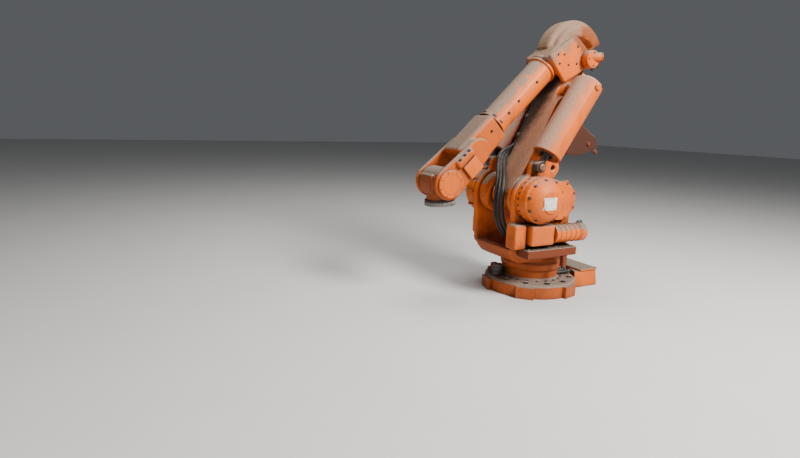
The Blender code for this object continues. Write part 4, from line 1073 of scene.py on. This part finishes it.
    def make_housing(self) -> None:
        """Make the outer plate and screws of the right gear housing."""
        face = -(self.cheek_outer + self.housing_depth)
        plate = Shape()
        plate.turned(
            [(0.0, 0.010), (0.090, 0.010), (0.096, 0.006), (0.150, 0.006), (0.156, 0.0), (0.156, -0.004)],
            facing((AXIS2.x, face, AXIS2.z), (0, -1, 0)),
            48,
        )
        plate.finish("right_housing_plate", self.body, PAINT, "orange_paint")
        screws = Shape()
        screws.screws(
            [(AXIS2.x + x, face - 0.006, AXIS2.z + z) for x, z in ring(10, self.housing_circle, 9.0)],
            (0, -1, 0), Matrix.Identity(4), 0.010, 0.008,
        )
        screws.finish("right_housing_screws", self.body, BOLT_BLACK, "grey_cast")

    def make_shelf(self) -> None:
        """Make the screws on the shelf."""
        screws = Shape()
        for x in self.shelf_screws_x:
            screws.screw(facing((x, 0.400, self.shelf_top), (0, 0, 1)), 0.008, 0.007, Head.HEX)
        screws.finish("shelf_screws", self.body, BOLT_STEEL, "grey_cast")


@dataclass
class LowerArm:
    """The leaning lower arm with its bolted flange and hub screws."""

    body: str = "lower_arm_body"
    flange_face: float = 0.2243
    flange_circle: float = 0.180
    far_face: float = -0.115
    far_circle: float = 0.100

    def make(self) -> None:
        """Make the lower arm's pieces."""
        base = standing(AXIS2, -LEAN)
        screws = Shape()
        screws.screws(
            [(x, self.flange_face, z) for x, z in ring(18, self.flange_circle, 5.0)],
            (0, 1, 0), base, 0.0095, 0.0075,
        )
        screws.screws(
            [(x, self.far_face, z) for x, z in ring(10, self.far_circle, 9.0)],
            (0, -1, 0), base, 0.0062, 0.0010, Head.BUTTON,
        )
        screws.finish("lower_arm_screws", self.body, BOLT_BLACK, "grey_cast")


@dataclass
class Harness:
    """The black hoses from the turntable's pocket to the lower arm.

    Every place is in the lower arm's frame. The route gives how far along the arm, in front of it and across it
    the hoses' middles run up to the arm, and side_run how far along it they are held.
    """

    route: tuple[tuple[float, float, float], ...] = (
        (-0.436, -0.263, 0.055), (-0.373, -0.225, 0.055), (-0.356, -0.150, 0.060), (-0.345, -0.062, 0.068),
        (-0.305, 0.036, 0.072), (-0.234, 0.116, 0.070), (-0.128, 0.170, 0.060), (-0.020, 0.199, 0.040),
        (0.075, 0.210, 0.005), (0.160, 0.212, -0.050), (0.240, 0.196, -0.110), (0.320, 0.170, -0.160),
    )
    side_run: tuple[float, ...] = (0.420, 0.520, 0.660, 0.800, 0.900)
    side_front: float = 0.086
    side_face: float = -0.1325
    side_taper: float = 0.012
    radii: tuple[float, ...] = (0.0155, 0.0145, 0.0155)
    pitch: float = 0.034
    slack: float = 0.009
    bunched_from: int = 7
    bend_start: tuple[float, float, float] = (0.036, 0.100, -0.305)
    bend_end: tuple[float, float, float] = (0.212, -0.020, 0.160)
    arm_side: float = -0.1145
    straps_at: tuple[float, ...] = (0.520, 0.700)
    strap_half: float = 0.015

    def make(self) -> None:
        """Make the hoses, their clamps and the block that they end in."""
        base = standing(AXIS2, -LEAN)
        for index, radius in enumerate(self.radii):
            self.make_hose(base, index, radius)
        self.make_clamps(base)

    def make_hose(self, base: Matrix, index: int, radius: float) -> None:
        """Make one hose.

        Args:
            base: The lower arm's frame.
            index: Its place in the bundle.
            radius: Its radius.
        """
        points = []
        for step, (along, front, across) in enumerate(self.route):
            slack = self.slack * math.sin(2.1 * index + 0.7) * math.sin(math.pi * min(step / 10.0, 1.0))
            bunched = max(step - self.bunched_from, 0)
            spread = self.pitch * index * (1.0 - bunched * 0.22)
            inward = self.pitch * index * bunched * 0.20
            points.append((front + slack - inward, across + spread, along - slack))
        for along in self.side_run:
            points.append((self.side_front - self.pitch * index - self.side_taper * along, self.side_face, along))
        hose = Shape()
        hose.pipe(points, radius, base)
        piece = hose.finish(f"harness_hose_{index + 1}", "turntable", RUBBER, "grey_cast", ride=False)
        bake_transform(piece)

    def make_clamps(self, base: Matrix) -> None:
        """Make the straps over the hoses, the end block and the glands in the pocket's floor.

        Args:
            base: The lower arm's frame.
        """
        width = self.pitch * (len(self.radii) - 1)
        outer = self.side_face - 0.0165
        straps = Shape()
        for along in self.straps_at:
            front = self.side_front - self.side_taper * along + 0.017
            rear = front - width - 0.034
            low, high = along - self.strap_half, along + self.strap_half
            straps.block((rear, outer - 0.003, low), (front, outer, high), base, 0.001)
            for edge in (rear, front - 0.0025):
                straps.block((edge, outer - 0.002, low), (edge + 0.0025, self.arm_side, high), base, 0.001)
        straps.finish("hose_straps", "lower_arm_body", BOLT_STEEL, "grey_cast")
        front = self.side_front - 0.010 + 0.018
        block = Shape()
        block.block((front - width - 0.038, outer - 0.004, 0.872), (front, -0.1120, 0.940), base, 0.004, 3)
        block.finish("hose_block", "lower_arm_body", SEAL, "grey_cast")
        glands = Shape()
        for index, radius in enumerate(self.radii):
            along, front, across = self.route[0]
            across += self.pitch * index
            where = base @ Matrix.Translation((front, across, along)) @ Matrix.Rotation(LEAN, 4, "Y")
            glands.turned(
                [(radius, -0.006), (radius + 0.0015, -0.006), (radius + 0.0015, 0.014), (radius, 0.016)], where, 16
            )
        glands.finish("hose_glands", "turntable", BOLT_STEEL, "grey_cast")


@dataclass
class Springs:
    """The two balance cylinders with their end plates, seals and the sleeves on their rods."""

    top: float = 0.048
    below: float = 0.655
    mouth: float = 0.1037
    hole: float = 0.051
    sleeve: float = 0.0265
    rod: float = 0.0205
    top_circle: float = 0.066
    end_circle: float = 0.088

    def make(self) -> None:
        """Make both sides."""
        for side, label in ((1, "left"), (-1, "right")):
            self.make_cylinder(side, label)

    def make_cylinder(self, side: int, label: str) -> None:
        """Make a cylinder's end plate, seal and screws and its rod's sleeve.

        Args:
            side: 1 for the left, -1 for the right.
            label: The side's name.
        """
        base = standing(SPRING_PIN, SPRING_LEAN) @ Matrix.Translation((0.0, side * SPRING_Y, 0.0))
        low = -self.below
        end_plate = Shape()
        end_plate.turned(
            [
                (self.hole, low + 0.016), (self.hole, low + 0.003), (self.hole + 0.003, low), (self.mouth - 0.004, low),
                (self.mouth, low + 0.003), (self.mouth, low + 0.016),
            ],
            base,
            56,
        )
        end_plate.finish(f"{label}_cylinder_end_plate", f"{label}_cylinder_body", RUSTY_SHADED_PAINT, "orange_paint")
        collar = Shape()
        collar.turned(
            [
                (self.hole + 0.001, low + 0.004), (self.hole + 0.001, low - 0.005), (self.hole + 0.003, low - 0.007),
                (self.hole + 0.008, low - 0.007), (self.hole + 0.010, low - 0.005), (self.hole + 0.010, low + 0.004),
            ],
            base,
            48,
        )
        collar.finish(f"{label}_cylinder_seal", f"{label}_cylinder_body", SEAL, "grey_cast")
        sleeve = Shape()
        eye = -(SPRING_PIN - SPRING_EYE).length
        sleeve.turned(
            [
                (self.rod, eye + 0.040), (self.sleeve, eye + 0.042), (self.sleeve, eye + 0.060),
                (self.sleeve - 0.003, eye + 0.062), (self.sleeve - 0.003, eye + 0.066), (self.sleeve, eye + 0.068),
                (self.sleeve, eye + 0.156), (self.rod, eye + 0.158),
            ],
            base,
            32,
        )
        sleeve.finish(f"{label}_rod_sleeve", f"{label}_rod_body", ROD_STEEL, "bare_steel")
        screws = Shape()
        screws.screws([(x, y, self.top) for x, y in ring(6, self.top_circle, 30.0)], (0, 0, 1), base, 0.008, 0.007)
        screws.screws([(x, y, low) for x, y in ring(6, self.end_circle, 22.0)], (0, 0, -1), base, 0.0060, 0.0045)
        screws.finish(f"{label}_cylinder_screws", f"{label}_cylinder_body", BOLT_BLACK, "grey_cast")


@dataclass
class ParallelDrive:
    """The crank on axis 2 and its weight."""

    pin_face: float = -0.1962
    weight_face: float = 0.180
    weight_bolts: tuple[tuple[float, float], ...] = ((-0.400, 0.680), (-0.510, 0.660))

    def make(self) -> None:
        """Make the crank's pin cap and the bolts of the weight."""
        base = standing(AXIS2, -LEAN)
        caps = Shape()
        caps.turned(
            [(0.0, 0.003), (0.018, 0.003), (0.020, 0.001), (0.020, -0.001)],
            base @ facing((-LINK_RADIUS, self.pin_face, 0.0), (0, -1, 0)),
            24,
        )
        caps.finish("crank_pin_cap", "crank_body", BOLT_STEEL, "bare_steel")
        bolts = Shape()
        bolts.screws(
            [(x, self.weight_face, z) for x, z in self.weight_bolts], (0, 1, 0), base, 0.016, 0.012, Head.HEX
        )
        bolts.finish("counterweight_bolts", "crank_body", SHADE_DARKENED_PAINT, "dark_orange")


@dataclass
class Elbow:
    """The fittings of the elbow and its wrist motors."""

    body: str = "upper_arm_body"
    cheek_face: float = 0.1603
    motor_u: float = -0.014
    motor_n: float = -0.020
    motor_length: float = 0.0660
    ear_rise: float = 0.026
    ear_reach: float = 0.104
    ear_turn: float = math.radians(62.0)
    drum_u: float = 0.205
    drum_n: float = 0.180
    drum_depth: float = 0.0523
    screw_places: tuple[tuple[float, float], ...] = ((0.154, 0.175), (0.171, 0.081), (0.096, 0.031), (0.236, 0.150))
    pocket_places: tuple[tuple[float, float], ...] = ((0.004, 0.128), (0.205, 0.215))
    plugs: tuple[tuple[float, float, float], ...] = (
        (0.018, 0.182, 0.013), (-0.018, 0.206, 0.012), (-0.050, 0.185, 0.011)
    )

    def make(self) -> None:
        """Make the elbow's pieces."""
        base = standing(AXIS3, DROP)
        screws = Shape()
        for side in (1, -1):
            places = [(u, side * self.cheek_face, n) for u, n in self.screw_places]
            screws.screws(places, (0, side, 0), base, 0.0075, 0.006)
        screws.finish("elbow_screws", self.body, BOLT_RUSTY, "grey_cast")
        self.make_motors(base)
        self.make_casting_marks(base)

    def make_motors(self, base: Matrix) -> None:
        """Make the end plates of the wrist motors, the socket in the left one's ear and its plugs below.

        Args:
            base: The elbow's frame.
        """
        ends = Shape()
        holes = Shape()
        for side in (1, -1):
            face = side * (self.cheek_face + self.motor_length)
            where = base @ facing((self.motor_u, face, self.motor_n), (0, side, 0))
            ends.turned(
                [(0.0, 0.008), (0.058, 0.008), (0.062, 0.005), (0.068, 0.005), (0.071, 0.002), (0.071, -0.002)],
                where,
                40,
            )
            holes.screws([(x, y, 0.005) for x, y in ring(4, 0.052, 45.0)], (0, 0, 1), where, 0.006, 0.005)
        middle = base @ Vector((self.motor_u, self.cheek_face + self.motor_length / 2, self.motor_n + self.ear_rise))
        out = Vector((-math.sin(self.ear_turn), math.cos(self.ear_turn), 0.0))
        where = facing(middle + out * self.ear_reach, out)
        ends.turned(
            [(0.0185, 0.0), (0.0185, 0.006), (0.034, 0.006), (0.038, 0.003), (0.040, 0.003), (0.040, -0.002)], where, 36
        )
        holes.turned([(0.0, 0.0012), (0.0185, 0.0012), (0.0185, -0.002)], where, 24)
        ends.finish("wrist_motor_ends", self.body, PAINT, "orange_paint")
        for x, y, size in self.plugs:
            holes.turned(
                [
                    (0.0, 0.034), (size * 0.7, 0.034), (size * 0.75, 0.022), (size, 0.021), (size, 0.010),
                    (size * 1.2, 0.009), (size * 1.2, -0.010),
                ],
                base @ facing((self.motor_u + x, y, self.motor_n - 0.068), (x * 6, 0.0, -1.0)),
                20,
            )
        holes.finish("wrist_motor_plugs", self.body, SEAL, "grey_cast")

    def make_casting_marks(self, base: Matrix) -> None:
        """Make the casting's small dark pockets and the drum's end plate.

        Args:
            base: The elbow's frame.
        """
        face = self.cheek_face
        pockets = Shape()
        for u, n in self.pocket_places:
            where = base @ facing((u, face, n), (0, 1, 0))
            pockets.turned([(0.0, 0.0008), (0.0105, 0.0008), (0.0120, -0.002)], where, 20)
        pockets.finish("casting_pockets", self.body, SEAL, "grey_cast")
        cap = Shape()
        cap.turned(
            [(0.0, 0.006), (0.030, 0.006), (0.034, 0.003), (0.040, 0.003), (0.042, 0.0), (0.042, -0.002)],
            base @ facing((self.drum_u, -(face + self.drum_depth), self.drum_n), (0, -1, 0)),
            32,
        )
        cap.finish("side_drum_plate", self.body, SHADE_DARKENED_PAINT, "dark_orange")


@dataclass
class Forearm:
    """The fittings of the long tube, its squarer front and the fork of the wrist."""

    body: str = "forearm_body"
    tube_radius: float = 0.115
    tube_screws: tuple[tuple[float, float], ...] = (
        (0.476, 6.0), (0.709, 9.0), (0.843, 6.0), (0.476, 174.0), (0.709, 171.0), (0.843, 174.0)
    )
    tube_end: float = 0.970
    front_half: float = 0.121
    side_box_screws: tuple[float, ...] = (1.345, 1.395, 1.450)
    cover_face: float = 0.1883
    cover_circle: float = 0.096
    clip_turns: tuple[float, ...] = (8.0, 40.0, 90.0, 140.0, 172.0)
    clip_seat: float = 0.1225

    def make(self) -> None:
        """Make the forearm's pieces."""
        base = standing(FOREARM_START, DROP)
        screws = Shape()
        for u, turn in self.tube_screws:
            y, n = math.cos(math.radians(turn)), math.sin(math.radians(turn))
            seat = self.tube_radius * 0.996
            screws.screw(base @ facing((u, y * seat, n * seat), (0, y, n)), 0.009, 0.007)
        for side in (1, -1):
            screws.screws([(1.063, side * self.front_half, 0.021)], (0, side, 0), base, 0.009, 0.007)
        for u in self.side_box_screws:
            screws.screw(base @ facing((u, 0.1920, 0.0900), (0, 0.707, 0.707)), 0.0085, 0.007)
        screws.finish("forearm_screws", self.body, BOLT_BLACK, "grey_cast")
        heads = Shape()
        for side in (1, -1):
            where = base @ facing((WRIST_REACH, side * self.cover_face, 0.0), (0, side, 0))
            places = [(x, y, 0.0) for x, y in ring(8, self.cover_circle, 22.5)]
            heads.screws(places, (0, 0, 1), where, 0.0060, 0.0035, Head.BUTTON)
            heads.turned([(0.076, -0.001), (0.077, 0.0022), (0.081, 0.0022), (0.082, -0.001)], where, 48)
        heads.finish("wrist_cover_screws", self.body, PAINT, "orange_paint")
        self.make_joint(base)

    def make_joint(self, base: Matrix) -> None:
        """Make the ring where the tube meets its front, and the clips over it.

        Args:
            base: The forearm's frame.
        """
        clips = Shape()
        for turn in self.clip_turns:
            y, n = math.cos(math.radians(turn)), math.sin(math.radians(turn))
            where = facing((self.tube_end - 0.024, y * self.clip_seat, n * self.clip_seat), (0, y, n))
            where = base @ where @ Matrix.Rotation(math.radians(90.0), 4, "Z")
            clips.block((-0.018, -0.007, 0.0), (0.018, 0.007, 0.0045), where, 0.001)
        clips.finish("forearm_clips", self.body, SEAL, "grey_cast")
        joint = Shape()
        joint.turned(
            [(0.1150, -0.046), (0.1235, -0.044), (0.1235, -0.003), (0.1215, -0.001), (0.1150, -0.001)],
            base @ facing((self.tube_end, 0.0, 0.0), (1, 0, 0)),
            48,
        )
        joint.finish("forearm_joint_ring", self.body, PAINT, "orange_paint")


@dataclass
class Wrist:
    """The seal and the cover of the tilting housing."""

    body: str = "wrist_body"
    disc_gap_at: float = 0.150
    cover_half: tuple[float, float] = (0.058, 0.078)

    def make(self) -> None:
        """Make the wrist's pieces."""
        base = standing(WRIST, TOOL_PITCH)
        seal = Shape()
        seal.turned(
            [(0.1180, 0.0), (0.1225, -0.003), (0.1225, -0.010), (0.1180, -0.013)],
            base @ facing((self.disc_gap_at, 0.0, 0.0), (1, 0, 0)),
            48,
        )
        seal.finish("disc_seal", self.body, SEAL, "grey_cast")
        cover = Shape()
        long, wide = self.cover_half
        cover.block((-long, -wide, 0.1275), (long, wide, 0.1325), base, 0.002)
        cover.finish("tilt_cover", self.body, RUSTY_SHADED_PAINT, "dusty_orange")


@dataclass(frozen=True)
class Studio:
    """The plain pale floor, the soft lights and the camera at the photograph's angle."""

    camera_place: tuple[float, float, float] = (3.192, 3.606, 1.442)
    yaw: float = math.radians(207.18)
    pitch: float = math.radians(11.5)
    roll: float = math.radians(-1.64)
    focal_px: float = 530.0
    width_px: float = 800.0
    sensor: float = 36.0
    floor_half: float = 30.0
    floor_drop: float = 0.001
    lights: tuple[tuple[str, Point, Point, float, float], ...] = (
        ("key_light", (-1.2, 5.0, 5.0), (0.2, 0.0, 1.3), 2.2, 980.0),
        ("top_light", (0.4, -0.4, 6.4), (0.1, 0.0, 1.2), 3.0, 270.0),
        ("fill_light", (4.2, 2.4, 2.6), (0.2, 0.0, 1.2), 3.0, 36.0),
    )
    sky_strength: float = 0.12

    def build(self) -> None:
        """Set the floor, the lights, the world and the camera."""
        self.set_camera()
        self.lay_floor()
        self.hang_lights()

    def set_camera(self) -> None:
        """Stand the camera where the photograph was taken."""
        level = math.cos(self.pitch)
        ahead = Vector((math.sin(self.yaw) * level, math.cos(self.yaw) * level, -math.sin(self.pitch)))
        right = Vector((math.cos(self.yaw), -math.sin(self.yaw), 0.0))
        down = ahead.cross(right)
        turned_right = right * math.cos(self.roll) + down * math.sin(self.roll)
        turned_down = -right * math.sin(self.roll) + down * math.cos(self.roll)
        data = bpy.data.cameras.new("photo_camera")
        data.sensor_width = self.sensor
        data.lens = self.focal_px / self.width_px * self.sensor
        camera = bpy.data.objects.new("photo_camera", data)
        bpy.context.scene.collection.objects.link(camera)
        axes = Matrix((turned_right, -turned_down, -ahead)).transposed().to_4x4()
        camera.matrix_world = Matrix.Translation(self.camera_place) @ axes
        bpy.context.scene.camera = camera

    def lay_floor(self) -> None:
        """Lay a wide pale floor that fades into the backdrop."""
        work = bmesh.new()
        bmesh.ops.create_grid(work, x_segments=1, y_segments=1, size=self.floor_half)
        mesh = bpy.data.meshes.new("studio_floor")
        work.to_mesh(mesh)
        work.free()
        floor = bpy.data.objects.new("studio_floor", mesh)
        bpy.context.scene.collection.objects.link(floor)
        floor.location.z = -self.floor_drop
        g = Graph("floor_paint")
        mottle = g.noise(1.4, 4.0)
        g.feed(g.shader.inputs["Base Color"], g.mix(mottle, (0.60, 0.585, 0.56), (0.66, 0.645, 0.62)))
        g.shader.inputs["Roughness"].default_value = 0.85
        mesh.materials.append(g.material)

    def hang_lights(self) -> None:
        """Hang a large soft key light, a top light and a weak fill, and set a pale world."""
        for name, place, target, size, power in self.lights:
            data = bpy.data.lights.new(name, "AREA")
            data.energy = power
            data.size = size
            light = bpy.data.objects.new(name, data)
            bpy.context.scene.collection.objects.link(light)
            aim = Vector(target) - Vector(place)
            light.matrix_world = Matrix.Translation(place) @ aim.to_track_quat("-Z", "Y").to_matrix().to_4x4()
        world = bpy.data.worlds.new("studio_world")
        world.use_nodes = True
        sky = world.node_tree.nodes["Background"]
        sky.inputs["Color"].default_value = (0.86, 0.90, 0.96, 1.0)
        sky.inputs["Strength"].default_value = self.sky_strength
        bpy.context.scene.world = world


def dress_cad() -> None:
    """Give every CAD node its finish."""
    dress_nodes(
        PAINT,
        "connection_box", "left_cheek", "right_cheek", "left_gear_cover",
        "left_motor_box", "right_motor_box", "right_gear_housing", "lower_arm_flange",
        "parallel_arm", "parallel_bar", "left_wrist_motor", "right_wrist_motor",
        "forearm_tube", "forearm_fork", "left_wrist_cover", "right_wrist_cover",
        "left_drive_motor", "right_drive_motor", "wrist_side_box",
    )
    dress_nodes(DOME_PAINT, "left_dome_cover")
    dress_nodes(CYLINDER_PAINT, "left_spring_cylinder")
    dress_nodes(DUSTY_PAINT, "connection_box_lid", "left_motor_cap", "right_motor_cap")
    dress_nodes(LOW_SHADED_PAINT, "base_casting", "turntable_casting")
    dress_nodes(RUSTY_SHADED_PAINT, "tilt_housing")
    dress_nodes(ARM_PAINT, "lower_arm")
    dress_nodes(ELBOW_PAINT, "elbow_casting", "elbow_hood")
    dress_nodes(SHADE_DARKENED_PAINT, "turning_stop", "side_shelf", "right_side_drum")
    dress_nodes(MAROON_SHADE_PAINT, "counterweight")
    dress_nodes(FAR_PAINT, "right_spring_cylinder")
    dress_nodes(GREY_CAST, "position_switch")
    dress_nodes(ROD_STEEL, "left_spring_rod", "right_spring_rod")
    dress_nodes(BOLT_STEEL, "tool_disc")


def main() -> None:
    """Build every sub-assembly in order."""
    logging.basicConfig(level=logging.INFO, format="%(name)s: %(message)s")
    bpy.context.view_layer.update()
    Studio().build()
    dress_cad()
    for part in (
        *CASTINGS, Foot(), Turntable(), LowerArm(), Harness(), Springs(), ParallelDrive(), Elbow(), Forearm(), Wrist()
    ):
        log.info("building %s", type(part).__name__)
        part.make()


if __name__ == "__main__":
    main()
